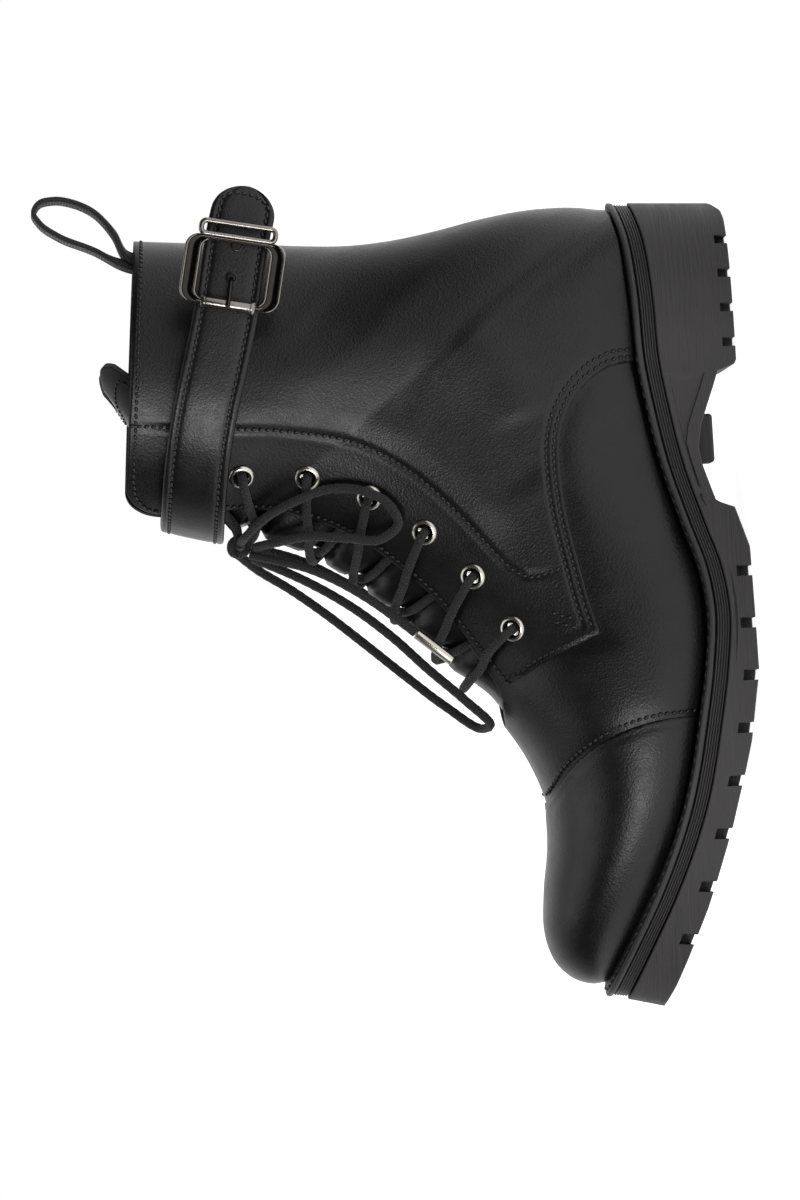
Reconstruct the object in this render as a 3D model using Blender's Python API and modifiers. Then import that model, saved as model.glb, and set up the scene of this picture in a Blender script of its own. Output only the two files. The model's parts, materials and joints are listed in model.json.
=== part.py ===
"""Lace-up ankle work boot with strap and buckle, left foot, standing empty on its sole.

Lengths below are millimetres and are turned into metres as a mesh is made.
A point of the boot is written as (forward, side, height): forward runs from the back of the
heel towards the toe, side is plus on the outer (lateral) side, height is above the floor.
The toe points along -Y, the lateral side is +X.
"""
import math

import bmesh
import bpy
import numpy as np
from mathutils import Matrix, Vector

# ---- Driving sizes -------------------------------------------------------------------
MM = 0.001
FORWARD_MIDDLE = 134.1      # forward value that stands at Y = 0
SIDE_MIDDLE = 2.2           # side value that stands at X = 0
GAP = 0.3                   # clearance between pieces that touch
WALL = 2.2                  # leather and lining of the upper
FACING_STEPS = 7            # eyelets on each side

# ---- Sole ----------------------------------------------------------------------------
SOLE_TOE = 284.0
LATERAL_EDGE = [            # forward, half width of the sole to the lateral side
    (0, 0), (1.2, 9), (5, 18.5), (13, 29), (24, 36), (40, 39.2), (60, 39), (80, 39.6),
    (95, 41.4), (110, 44.6), (130, 49), (150, 52.2), (168, 53.2), (186, 52.6), (205, 50.4),
    (222, 46.8), (238, 42), (253, 35.4), (267, 26.6), (277, 16.8), (282.4, 8), (284, 0)]
MEDIAL_EDGE = [             # forward, half width of the sole to the medial side
    (0, 0), (1.2, 9), (5, 18.5), (13, 29), (24, 35.6), (40, 38), (60, 36.6), (80, 35),
    (95, 35.4), (110, 37.8), (130, 42.6), (150, 47.2), (168, 50.2), (186, 51.4), (205, 50.6),
    (222, 48), (238, 43.8), (253, 37.8), (267, 29.8), (277, 20.4), (282.4, 11), (284, 0)]
FEATHER = [                 # forward, height of the welt's top face
    (-5, 40.8), (10, 37.6), (30, 35.8), (58, 34.6), (73, 32.4), (93, 28.7), (114, 22.9),
    (130, 18.2), (145, 16.4), (165, 18.2), (183, 21.4), (217, 29.4), (247, 41.6),
    (262, 49.2), (276, 56.2), (286, 61)]
TREAD = [                   # forward, height of the underside
    (-5, 0), (0, 4), (3.5, 0.6), (7, 0), (57.8, 0), (59.3, 0.8), (61.3, 6.8), (66.5, 8.6),
    (73, 11.2), (80, 13.8), (88, 15.3), (94.5, 14.2), (107, 10.5), (109.6, 4.2), (117, 2.0),
    (124, 0), (168, 0), (176, 1.4),
    (192, 4), (202, 6.6), (211, 9.2), (221, 12), (230, 15), (240, 18.4), (250, 22),
    (258, 25.4), (268, 29.6), (277, 33.6), (284, 37.4), (290, 41)]
WELT_THICK = 2.4
MIDSOLE_THICK = 4.6
MIDSOLE_INSET = 0.9
INSOLE_THICK = 2.6
TOE_LEAN = -4.7             # the toe end of the sole leans back from tread to welt
HEEL_LEAN = -2.5
FOREFOOT_LUGS = dict(first=132.3, pitch=18.35, count=8, wide=3.6, deep=5.4, reach=17.0)
HEEL_LUGS = dict(first=14.8, pitch=12.2, count=4, wide=3.0, deep=4.5, reach=13.0)
SHANK_LUG = dict(start=74.5, end=92.0, side=-14.0, wide=16.0, low=6.5)

# ---- Last: sections from the ridge (near) to the sole or the back line (far) ------------
SECTION_COLUMNS = ("near_f", "near_h", "far_f", "far_h", "mid", "lateral", "medial",
                   "foot_lateral", "foot_medial", "fullness", "square")
FOOT_ROWS = [               # far_h is the feather line's height, put in by section_table
    (273.9, 57.2, 272.9, 0, -3.0, 8.6, 8.6, 8.4, 8.4, 0.55, 2.0),
    (274.3, 62.6, 270.6, 0, -2.8, 13.6, 13.6, 13.0, 13.0, 0.58, 2.0),
    (271.6, 69.4, 266.0, 0, -2.4, 19.8, 19.8, 18.8, 18.8, 0.61, 2.05),
    (264.8, 75.4, 259.0, 0, -2.0, 26.2, 26.2, 24.9, 24.9, 0.64, 2.1),
    (254.0, 78.2, 249.4, 0, -1.5, 32.2, 32.4, 30.4, 30.6, 0.67, 2.15),
    (240.0, 77.4, 236.4, 0, -0.8, 37.6, 37.8, 35.4, 35.6, 0.70, 2.15),
    (224.0, 75.2, 221.6, 0, -0.2, 42.0, 41.8, 39.6, 39.2, 0.72, 2.1),
    (207.5, 75.8, 206.0, 0, 0.2, 45.2, 44.4, 42.6, 41.4, 0.74, 2.05),
    (193.0, 80.8, 190.0, 0, 0.6, 46.8, 45.2, 44.0, 41.4, 0.76, 1.95),
    (178.0, 90.2, 173.0, 0, 0.8, 47.2, 44.8, 44.2, 39.6, 0.77, 1.88),
    (163.0, 101.8, 155.0, 0, 0.9, 46.4, 43.6, 43.0, 36.6, 0.78, 1.8),
    (149.0, 113.8, 136.0, 0, 0.8, 44.8, 42.0, 40.6, 33.6, 0.78, 1.75),
    (136.0, 126.3, 114.0, 0, 0.4, 42.9, 40.9, 37.6, 31.0, 0.75, 1.75),
    (124.8, 138.8, 90.0, 0, 0.0, 41.4, 40.4, 35.4, 30.4, 0.71, 1.85),
    (116.6, 150.8, 62.0, 0, 0.0, 40.4, 40.0, 34.4, 32.4, 0.67, 1.9),
    (111.4, 161.0, 36.0, 0, 0.0, 39.8, 39.8, 34.0, 33.6, 0.63, 1.94),
    (108.2, 169.2, 16.0, 0, 0.0, 39.4, 39.4, 28.6, 28.6, 0.59, 1.96),
    (106.8, 174.2, 5.5, 0, 0.0, 39.1, 39.1, 18.0, 18.0, 0.57, 1.97),
    (106.0, 177.6, 1.2, 0, 0.0, 38.9, 38.9, 8.0, 8.0, 0.56, 1.98)]
SHAFT_ROWS = [
    (105.4, 180.4, -0.2, 44.5, 0.0, 38.8, 38.8, 0.0, 0.0, 0.55, 1.98),
    (104.9, 183.6, -1.5, 55.0, 0.0, 38.7, 38.7, 0.0, 0.0, 0.54, 1.98),
    (104.4, 187.6, -1.2, 70.0, 0.0, 38.6, 38.6, 0.0, 0.0, 0.53, 1.98),
    (103.9, 191.8, 1.0, 86.0, 0.0, 38.6, 38.6, 0.0, 0.0, 0.53, 1.98),
    (103.5, 196.0, 4.2, 102.0, 0.0, 38.5, 38.5, 0.0, 0.0, 0.52, 1.98),
    (103.2, 200.2, 6.6, 118.0, 0.0, 38.4, 38.4, 0.0, 0.0, 0.52, 1.98),
    (102.9, 204.2, 7.4, 134.0, 0.0, 38.2, 38.2, 0.0, 0.0, 0.52, 1.98),
    (102.6, 208.0, 6.4, 150.0, 0.0, 38.0, 38.0, 0.0, 0.0, 0.52, 1.98),
    (102.2, 211.4, 4.6, 168.0, 0.0, 37.9, 37.9, 0.0, 0.0, 0.52, 1.98),
    (101.6, 214.4, 3.2, 187.0, 0.0, 37.8, 37.8, 0.0, 0.0, 0.52, 1.98),
    (101.0, 217.8, 1.2, 208.3, 0.0, 37.8, 37.8, 0.0, 0.0, 0.52, 1.98)]
THROAT_ROW = 9.55           # place along the rows where the vamp's throat edge lies
THROAT_GAP = [              # place along the rows, half gap between the facings
    (9.0, 22.5), (9.8, 23.5), (10.8, 22.5), (12.0, 22.8), (13.4, 22.0), (15.6, 18.8),
    (18.0, 17.4), (21.0, 16.4), (24.0, 15.0), (26.0, 13.8), (29.0, 12.6)]
RIDGE_CELLS = 3             # mesh cells from the ridge to a facing's edge
SIDE_CELLS = 8              # mesh cells from a facing's edge to the sole or the back

# ---- Lacing, strap and trims -------------------------------------------------------------
EYELET_FIRST = 23.5         # from the lower end of the facing to the first eyelet
EYELET_PITCH = 23.1
EYELET_SETBACK = 19.6       # eyelet centre behind the facing's edge
EYELET_FLANGE = 4.65        # outer radius
EYELET_BORE = 2.1
EYELET_HOLE = 2.95          # hole through the leather
LACE = 3.4                  # lace diameter
BAR_DIP = 3.0               # the lowest strand hangs towards the toe
AGLET = dict(length=16.0, radius=1.9)
STRAP_WIDE = 22.6
STRAP_THICK = 2.6
STRAP_UPRIGHT = (-0.28, 0.0, 1.0)    # the strap leans back with the shaft's front
STRAP_ROUTE = [             # forward, side, height of the strap's middle line
    (57, -39.35, 187.4), (68, -39.2, 189.0), (82, -36.6, 191.0), (95, -29.0, 192.8),
    (103.4, -16, 193.8), (106.4, 0, 194.0), (103.8, 17, 194.0), (95, 31.5, 193.2),
    (80, 41.4, 191.0), (62, 46.6, 186.9), (44, 47.8, 181.8), (28, 47.8, 177.6),
    (12, 47.6, 174.2), (1, 47.0, 171.6), (-6.4, 44.8, 169.2), (-12.4, 41.8, 167.1)]
STRAP_HOLE = (19.0, 175.7)  # forward, height of the hole that the prong passes
BUCKLE_MIDDLE = (17.4, 51.75, 175.3)
BUCKLE_SLOPE = math.radians(12.0)
BUCKLE_LONG = 24.5          # along the strap
BUCKLE_WIDE = 35.8          # across the strap
BUCKLE_RAIL = 6.0
BUCKLE_BAR = 1.8
BUCKLE_THICK = 2.4
KEEPER = dict(long=6.4, wide=28.0, wire=1.9)
ROLLER = dict(long=19.0, bore=1.8, radius=2.35)
MIDDLE_BAR = (-2.6, -9.35)   # along the strap and outwards, from the buckle's middle
CHAPE_WIDE = 17.0
CHAPE_THICK = 1.8
CHAPE_TURN = 2.4            # radius of its fold round the middle bar
CHAPE_SEWN = [(40, -12.7), (30, -12.7), (20, -12.4), (11, -12.0), (4, -11.8)]
CHAPE_BACK = [(3, -7.7), (8, -8.8), (14, -9.5), (21, -9.6)]
PULL_WIDE = 23.0
PULL_THICK = 1.8
PULL_ROUTE = [              # forward, height of the folded webbing
    (7.0, 196.5), (6.9, 205.0), (5.0, 211.2), (-2.6, 215.2), (-8.6, 220.6), (-13.2, 228.5),
    (-14.8, 236), (-13.6, 241.4), (-10.6, 243.2), (-7.0, 241.4), (-2.0, 235.2), (2.8, 225),
    (8.0, 213), (9.2, 204.5), (9.5, 196.5)]
ZIP_LINE = [                # forward, height along the medial side
    (50.0, 209.5), (50.6, 190), (51.8, 165), (54, 140), (57, 115), (60.5, 92), (62.5, 80)]
ZIP_WIDE = 5.4
ZIP_THICK = 1.3
PIVOT = (50.0, -43.7, 199.5)     # zip pull's cross bar
TONGUE_THICK = 1.9
TONGUE_DEPTH = 3.3         # outer face below the last's surface
TONGUE_ROWS = (9.05, 27.4)

# ---- Lace: routes of the free cords, (forward, side, height) ---------------------------------
KNOT = (111.6, 1.0, 177.6)
KNOT_SIZE = (3.6, 5.2, 3.8)
LOOP_LATERAL = [
    (110.4, 8.0, 177.2), (108.6, 14, 175.4), (103.4, 21.6, 169.4), (98.2, 30.0, 158.8),
    (94.4, 32.8, 146), (95.8, 35.6, 134), (101.2, 37.0, 125.2), (108.2, 37.4, 122.4),
    (113.0, 35.8, 128.4), (112.0, 33.0, 140), (110.4, 27.6, 153), (111.6, 16.8, 165.6), (112.4, 8.0, 172.0)]
LOOP_MEDIAL = [
    (114.6, -4.6, 178.0), (120.0, -9.2, 171.6), (127.6, -12.2, 160.4), (137.2, -12.6, 148.2),
    (148.6, -11.4, 135.2), (160.8, -8, 121.8), (172.8, -2.5, 108.2), (181.6, 4.5, 96.0),
    (180.4, 11.0, 93.2), (171.4, 13.6, 101.6), (159.6, 10.6, 113.8), (147.0, 6.4, 126.0),
    (135.4, 2.6, 139.6), (125.6, 0.4, 154.6), (119.0, -0.9, 167.2), (116.2, -1.6, 173.2)]
END_LATERAL = [
    (115.2, 4.8, 173.8), (117.6, 9.6, 165.6), (121.0, 14.0, 155.0), (126.6, 17.6, 144.0),
    (133.6, 20.0, 133.6), (141.4, 21.4, 124.0), (146.6, 21.8, 118.0)]
END_MEDIAL = [
    (112.0, -5.4, 173.6), (114.2, -12.4, 165.4), (117.6, -18.8, 155.6), (123.0, -23.2, 145.4),
    (129.4, -26.2, 135.2), (136.6, -28.2, 125.4), (141.4, -29.0, 119.6)]


# ---- Curves through short tables ---------------------------------------------------------
def spline(knots, values, wanted):
    """Smooth curve through the rows of values at the knots, read at the wanted places."""
    knots, values = np.asarray(knots, float), np.asarray(values, float)
    flat = values.reshape(len(knots), -1)
    slopes = np.diff(flat, axis=0) / np.diff(knots)[:, None]
    before, after = np.diff(knots)[:-1, None], np.diff(knots)[1:, None]
    middle = (slopes[:-1] * after + slopes[1:] * before) / (before + after)
    tangents = np.vstack([slopes[:1], middle, slopes[-1:]])
    wanted = np.atleast_1d(np.asarray(wanted, float))
    cell = np.clip(np.searchsorted(knots, wanted, side="right") - 1, 0, len(knots) - 2)
    span = knots[cell + 1] - knots[cell]
    t = ((wanted - knots[cell]) / span)[:, None]
    span = span[:, None]
    return ((2 * t**3 - 3 * t**2 + 1) * flat[cell] + (t**3 - 2 * t**2 + t) * span * tangents[cell]
            + (3 * t**2 - 2 * t**3) * flat[cell + 1] + (t**3 - t**2) * span * tangents[cell + 1])


def height_line(table, forward):
    """Height of a side-view line at one forward value."""
    rows = np.array(table, float)
    return float(spline(rows[:, 0], rows[:, 1], forward)[0, 0])


def through(points, count):
    """Evenly spaced points on a smooth curve through a short route."""
    points = np.array(points, float)
    knots = np.concatenate([[0], np.cumsum(np.linalg.norm(np.diff(points, axis=0), axis=1))])
    fine = spline(knots, points, np.linspace(0, knots[-1], 40 * len(points)))
    run = np.concatenate([[0], np.cumsum(np.linalg.norm(np.diff(fine, axis=0), axis=1))])
    wanted = np.linspace(0, run[-1], count)
    return np.stack([np.interp(wanted, run, fine[:, i]) for i in range(points.shape[1])], axis=1)


def edge_width(table, forward):
    """Half width of the sole's outline at one forward value."""
    rows = np.array(table, float)
    knots = np.concatenate([[0], np.cumsum(np.hypot(*np.diff(rows, axis=0).T))])
    fine = spline(knots, rows, np.linspace(0, knots[-1], 600))
    return float(np.interp(forward, np.maximum.accumulate(fine[:, 0]), fine[:, 1]))


# ---- The last's surface --------------------------------------------------------------------
def section_table():
    rows = [list(row) for row in FOOT_ROWS + SHAFT_ROWS]
    for row in rows[:len(FOOT_ROWS)]:
        row[3] = height_line(FEATHER, row[2]) + 2 * GAP
    return np.array(rows)


SECTIONS = section_table()
LAST_ROW = len(SECTIONS) - 1


def section(place):
    """The section's sizes at a place along the rows, 0 at the toe, LAST_ROW at the collar."""
    values = spline(np.arange(len(SECTIONS)), SECTIONS, place)[0]
    cut = dict(zip(SECTION_COLUMNS, values))
    cut["foot_lateral"] = max(0.0, cut["foot_lateral"])
    cut["foot_medial"] = max(0.0, cut["foot_medial"])
    if place >= len(FOOT_ROWS):
        cut["foot_lateral"] = cut["foot_medial"] = 0.0
    return cut


def section_point(cut, side, angle_share):
    """Point on a section: angle_share runs 0..1 from ridge to foot, side is +1 or -1."""
    near = np.array([cut["near_f"], cut["near_h"]])
    far = np.array([cut["far_f"], cut["far_h"]])
    length = np.linalg.norm(far - near)
    along = (far - near) / length
    half, foot = ((cut["lateral"], cut["foot_lateral"]) if side > 0
                  else (cut["medial"], cut["foot_medial"]))
    ending = (min(foot / half, 0.999)) ** (cut["square"] / 2)
    last_angle = math.pi - math.asin(ending)
    angle = angle_share * last_angle
    upper = cut["fullness"] * length
    lower = (length - upper) / math.sqrt(1 - ending**2)
    run = upper - (upper if angle < math.pi / 2 else lower) * math.cos(angle)
    across = half * max(0.0, math.sin(angle)) ** (2 / cut["square"])
    spot = near + along * run
    return np.array([spot[0], cut["mid"] + side * across, spot[1]])


def facing_share(cut, place, side):
    """Angle share at which a facing's edge lies."""
    table = np.array(THROAT_GAP)
    gap = float(np.interp(place, table[:, 0], table[:, 1]))
    half, foot = ((cut["lateral"], cut["foot_lateral"]) if side > 0
                  else (cut["medial"], cut["foot_medial"]))
    ending = (min(foot / half, 0.999)) ** (cut["square"] / 2)
    last_angle = math.pi - math.asin(ending)
    gap = min(gap, 0.6 * half)
    return math.asin((gap / half) ** (cut["square"] / 2)) / last_angle


def skin(place, side, share):
    """Point of the last: share 0 at the ridge, 0.25 at the facing's edge, 1 at the foot."""
    cut = section(place)
    edge = facing_share(cut, place, side)
    if share < 0.25:
        angle = edge * share / 0.25
    else:
        angle = edge + (1 - edge) * (share - 0.25) / 0.75
    return section_point(cut, side, angle)


def skin_frame(place, side, share):
    """Point and outward unit normal of the last."""
    here = skin(place, side, share)
    low, high = max(0.0, share - 0.01), min(1.0, share + 0.01)
    back, ahead = max(0.0, place - 0.05), min(LAST_ROW, place + 0.05)
    across = skin(place, side, high) - skin(place, side, low)
    along = skin(ahead, side, share) - skin(back, side, share)
    normal = np.cross(across, along) * side
    return here, normal / np.linalg.norm(normal)


def lifted(place, side, share, lift):
    point, normal = skin_frame(place, side, share)
    return point + normal * lift


def share_at_reach(place, side, reach):
    """Share of the point that lies the given distance behind the facing's edge."""
    shares = np.linspace(0.25, 0.7, 60)
    points = np.array([skin(place, side, share) for share in shares])
    run = np.concatenate([[0], np.cumsum(np.linalg.norm(np.diff(points, axis=0), axis=1))])
    return float(np.interp(reach, run, shares))


# ---- Blender helpers -----------------------------------------------------------------------
def world(point):
    forward, side, height = point
    return Vector(((side - SIDE_MIDDLE) * MM, (FORWARD_MIDDLE - forward) * MM, height * MM))


def collection(name):
    made = bpy.data.collections.new(name)
    bpy.context.scene.collection.children.link(made)
    return made


def material(name, colour, roughness, metallic=0.0):
    made = bpy.data.materials.new(name)
    made.use_nodes = True
    shader = made.node_tree.nodes["Principled BSDF"]
    shader.inputs["Base Color"].default_value = (*colour, 1)
    shader.inputs["Roughness"].default_value = roughness
    shader.inputs["Metallic"].default_value = metallic
    return made


def add_mesh(name, shape, finish, home):
    mesh = bpy.data.meshes.new(name)
    bmesh.ops.recalc_face_normals(shape, faces=shape.faces)
    shape.to_mesh(mesh)
    shape.free()
    mesh.materials.append(finish)
    mesh.shade_smooth()
    mesh.set_sharp_from_angle(angle=math.radians(35))
    made = bpy.data.objects.new(name, mesh)
    home.objects.link(made)
    return made


def sheet(rows, keep=lambda i, j: True, closed=False):
    """Open surface through rows of points, with cells left out where keep says so."""
    shape = bmesh.new()
    corners = [[shape.verts.new(world(point)) for point in row] for row in rows]
    for i in range(len(rows) - 1):
        for j in range(len(rows[0]) - (0 if closed else 1)):
            if keep(i, j):
                k = (j + 1) % len(rows[0])
                shape.faces.new((corners[i][j], corners[i][k], corners[i + 1][k], corners[i + 1][j]))
    loose = [corner for corner in shape.verts if not corner.link_faces]
    bmesh.ops.delete(shape, geom=loose, context="VERTS")
    bmesh.ops.remove_doubles(shape, verts=shape.verts, dist=0.02 * MM)
    return shape


def loft(sections):
    """Closed solid through closed sections of equal point counts, with both ends capped."""
    shape = sheet(sections, closed=True)
    bmesh.ops.holes_fill(shape, edges=[edge for edge in shape.edges if edge.is_boundary])
    return shape


def turn_to(made, middle, normal):
    """Stand an object made around Z on a point, along a direction of the boot."""
    tip = world(np.asarray(middle) + np.asarray(normal)) - world(middle)
    made.rotation_mode = "QUATERNION"
    made.rotation_quaternion = tip.to_track_quat("Z", "Y")
    made.location = world(middle)


def tube(name, route, diameter, finish, home, sides=2, count=None):
    """Round cord or wire along a route, as a capped mesh."""
    route = np.array(route, float)
    span = np.linalg.norm(np.diff(route, axis=0), axis=1).sum()
    count = count or max(4, int(span / (2.2 * diameter)) + 1)
    line = bpy.data.curves.new(name + "_line", "CURVE")
    line.dimensions = "3D"
    line.bevel_depth = diameter / 2 * MM
    line.bevel_resolution = sides
    line.use_fill_caps = True
    strand = line.splines.new("POLY")
    points = through(route, count)
    strand.points.add(len(points) - 1)
    for knot, point in zip(strand.points, points):
        knot.co = (*world(point), 1)
    guide = bpy.data.objects.new(name + "_line", line)
    home.objects.link(guide)
    bpy.context.view_layer.update()
    mesh = bpy.data.meshes.new_from_object(guide.evaluated_get(bpy.context.evaluated_depsgraph_get()))
    shape = bmesh.new()
    shape.from_mesh(mesh)
    bmesh.ops.remove_doubles(shape, verts=shape.verts, dist=0.01 * MM)
    bpy.data.objects.remove(guide)
    bpy.data.meshes.remove(mesh)
    return add_mesh(name, shape, finish, home)


def boolean(target, tool, how):
    cut = target.modifiers.new(how.lower() + "_" + tool.name, "BOOLEAN")
    cut.operation = how
    cut.object = tool
    cut.solver = "EXACT"
    tool.hide_render = True
    tool.display_type = "WIRE"


# ---- Sole pieces ----------------------------------------------------------------------------
def sole_stations():
    """Forward values of the sole's cross sections, close together at both round ends."""
    heel = [0.15, 0.9, 2.4, 5, 9, 14, 20, 28, 38, 49, 57.8]
    waist = [59.3, 61.3, 66.5, 73, 80, 88, 94.5, 101, 107, 109.6, 117, 124, 134, 146, 158, 168]
    fore = [176, 186, 197, 209, 221, 233, 244, 254, 262, 269, 275, 279.4, 282.2, 283.6, 283.95]
    return heel + waist + fore


def lean(forward):
    """Forward shift from the tread up to the welt's top face."""
    toe = max(0.0, (forward - 200) / 84)
    heel = max(0.0, 1 - forward / 60)
    return TOE_LEAN * toe**2 + HEEL_LEAN * heel**2


def sole_section(forward, low, high, share_low, share_high, inset):
    """Rectangle across the sole; share tells how much of the lean each level has."""
    lateral = max(0.4, edge_width(LATERAL_EDGE, forward) - inset)
    medial = max(0.4, edge_width(MEDIAL_EDGE, forward) - inset)
    squeeze = (SOLE_TOE / 2 - forward) / (SOLE_TOE / 2) * inset
    low_f = forward + lean(forward) * share_low + squeeze
    high_f = forward + lean(forward) * share_high + squeeze
    return [(low_f, lateral, low), (high_f, lateral, high), (high_f, -medial, high), (low_f, -medial, low)]


def feather_at(forward, share=1.0):
    return height_line(FEATHER, forward + lean(forward) * share)


def make_outsole(finish, home, tools):
    sections = []
    drop = WELT_THICK + MIDSOLE_THICK + 2.5 * GAP
    rows = np.array(TREAD)
    for forward in sole_stations():
        low = float(np.interp(forward, rows[:, 0], rows[:, 1]))
        sections.append(sole_section(forward, low, feather_at(forward) - drop, 0.0, 0.7, 0.0))
    body = add_mesh("outsole", loft(sections), finish, home)
    notches = bmesh.new()
    for lugs in (FOREFOOT_LUGS, HEEL_LUGS):
        for i in range(lugs["count"]):
            forward = lugs["first"] + i * lugs["pitch"]
            low = float(np.interp(forward, rows[:, 0], rows[:, 1]))
            tilt = math.atan2(float(np.interp(forward + 4, rows[:, 0], rows[:, 1])) - low, 4)
            for side, edge in ((1, LATERAL_EDGE), (-1, MEDIAL_EDGE)):
                middle = (forward, side * (edge_width(edge, forward) - lugs["reach"] / 2 + 6), low)
                made = bmesh.ops.create_cube(notches, size=1.0)["verts"]
                for corner in made:
                    run = corner.co.x * lugs["wide"]
                    rise = corner.co.z * 2 * lugs["deep"]
                    corner.co = world((middle[0] + run * math.cos(tilt) - rise * math.sin(tilt),
                                       middle[1] + corner.co.y * (lugs["reach"] + 12),
                                       middle[2] + run * math.sin(tilt) + rise * math.cos(tilt)))
    boolean(body, add_mesh("lug_notches", notches, finish, tools), "DIFFERENCE")
    shank = bmesh.new()
    for corner in bmesh.ops.create_cube(shank, size=1.0)["verts"]:
        forward = SHANK_LUG["start"] if corner.co.x < 0 else SHANK_LUG["end"]
        corner.co = world((forward, SHANK_LUG["side"] + corner.co.y * SHANK_LUG["wide"],
                           SHANK_LUG["low"] if corner.co.z < 0 else 19.5))
    boolean(body, add_mesh("shank_lug", shank, finish, tools), "UNION")
    return body


def make_midsole(finish, home):
    top = WELT_THICK + 1.5 * GAP
    sections = [sole_section(forward, feather_at(forward) - top - MIDSOLE_THICK, feather_at(forward) - top,
                             0.75, 0.9, MIDSOLE_INSET) for forward in sole_stations()]
    return add_mesh("midsole", loft(sections), finish, home)


def make_welt(finish, home):
    sections = [sole_section(forward, feather_at(forward) - WELT_THICK, feather_at(forward), 0.92, 1.0, 0.3)
                for forward in sole_stations()]
    return add_mesh("welt", loft(sections), finish, home)


def make_insole(finish, home):
    """Flat board inside the foot of the upper, clear of its wall."""
    inset = WALL + 2.6
    sections = []
    for place in np.concatenate([np.linspace(1.4, 15, 20), [15.6, 16.1, 16.5]]):
        cut = section(place)
        low = cut["far_h"]
        widths = max(1.0, cut["foot_lateral"] - inset), max(1.0, cut["foot_medial"] - inset)
        forward = cut["far_f"]
        sections.append([(forward, cut["mid"] + widths[0], low),
                         (forward, cut["mid"] + widths[0], low + INSOLE_THICK),
                         (forward, cut["mid"] - widths[1], low + INSOLE_THICK),
                         (forward, cut["mid"] - widths[1], low)])
    return add_mesh("insole", loft(sections), finish, home)


# ---- Upper, tongue --------------------------------------------------------------------------
def row_places():
    toe = [0, 0.5, 1, 1.6, 2.3, 3, 4, 5, 6, 7, 8, 8.8]
    return toe + [THROAT_ROW] + list(np.arange(10.3, 15.9, 0.8)) + [
        16.4, 17, 17.5, 18, 18.5, 19, 20, 21, 22, 23.2, 24.4, 25.6, 26.8, 28, 29]


def side_shares(cells):
    near = [0.25 * k / RIDGE_CELLS for k in range(RIDGE_CELLS)]
    return near + [0.25 + 0.75 * k / cells for k in range(cells + 1)]


def full_row(place):
    shares = side_shares(SIDE_CELLS)
    medial = [skin(place, -1, share) for share in reversed(shares)]
    lateral = [skin(place, 1, share) for share in shares[1:]]
    return medial + lateral


def make_upper(finish, home):
    """Shell with the throat left open; it closes at the back where the foot width is none."""
    places = row_places()
    rows = [full_row(place) for place in places]
    centre = RIDGE_CELLS + SIDE_CELLS
    throat = places.index(THROAT_ROW)

    def keep(i, j):
        return i < throat or not centre - RIDGE_CELLS <= j < centre + RIDGE_CELLS

    body = add_mesh("upper", sheet(rows, keep), finish, home)
    wall = body.modifiers.new("wall", "SOLIDIFY")
    wall.thickness = WALL * MM
    wall.offset = -1
    wall.use_even_offset = True
    return body


def eyelet_places():
    """Row places of the eyelets, spaced evenly along the facing."""
    fine = np.linspace(THROAT_ROW, LAST_ROW, 220)
    line = np.array([skin(place, 1, share_at_reach(place, 1, EYELET_SETBACK)) for place in fine])
    run = np.concatenate([[0], np.cumsum(np.linalg.norm(np.diff(line, axis=0), axis=1))])
    wanted = [EYELET_FIRST + k * EYELET_PITCH for k in range(FACING_STEPS)]
    return list(np.interp(wanted, run, fine))


def turned(profile, steps, name, finish, home):
    """Ring or barrel spun about Z from a closed profile of (radius, height)."""
    shape = bmesh.new()
    corners = [shape.verts.new((radius * MM, 0, height * MM)) for radius, height in profile]
    edges = [shape.edges.new((corners[i], corners[(i + 1) % len(corners)])) for i in range(len(corners))]
    bmesh.ops.spin(shape, geom=corners + edges, cent=(0, 0, 0), axis=(0, 0, 1),
                   angle=math.tau, steps=steps, use_merge=True)
    return add_mesh(name, shape, finish, home)


def make_eyelets(upper, places, finish, home, tools):
    drill = bmesh.new()
    for side, label in ((1, "lateral"), (-1, "medial")):
        for number, place in enumerate(places, 1):
            middle, normal = skin_frame(place, side, share_at_reach(place, side, EYELET_SETBACK))
            ring = turned([(EYELET_BORE, 1.3), (3.3, 1.5), (EYELET_FLANGE, 0.6), (2.5, 0.45), (2.5, -1.9),
                           (EYELET_BORE, -1.9)], 10, f"eyelet_{label}_{number}", finish, home)
            turn_to(ring, middle, normal)
            tip = (world(middle + normal) - world(middle)).to_track_quat("Z", "Y").to_matrix().to_4x4()
            tip.translation = world(middle)
            bmesh.ops.create_cone(drill, cap_ends=True, segments=10, radius1=EYELET_HOLE * MM,
                                  radius2=EYELET_HOLE * MM, depth=9 * MM, matrix=tip)
    boolean(upper, add_mesh("eyelet_drill", drill, finish, tools), "DIFFERENCE")


def over(place, across, lift):
    """Point over the throat: across is 0 on the ridge, 1 and -1 at the facings' edges."""
    side = 1 if across >= 0 else -1
    return lifted(place, side, 0.25 * min(abs(across), 1.0) + 0.09 * max(0.0, abs(across) - 1), lift)


def smooth_step(value):
    value = min(1.0, max(0.0, value))
    return value * value * (3 - 2 * value)


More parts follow.
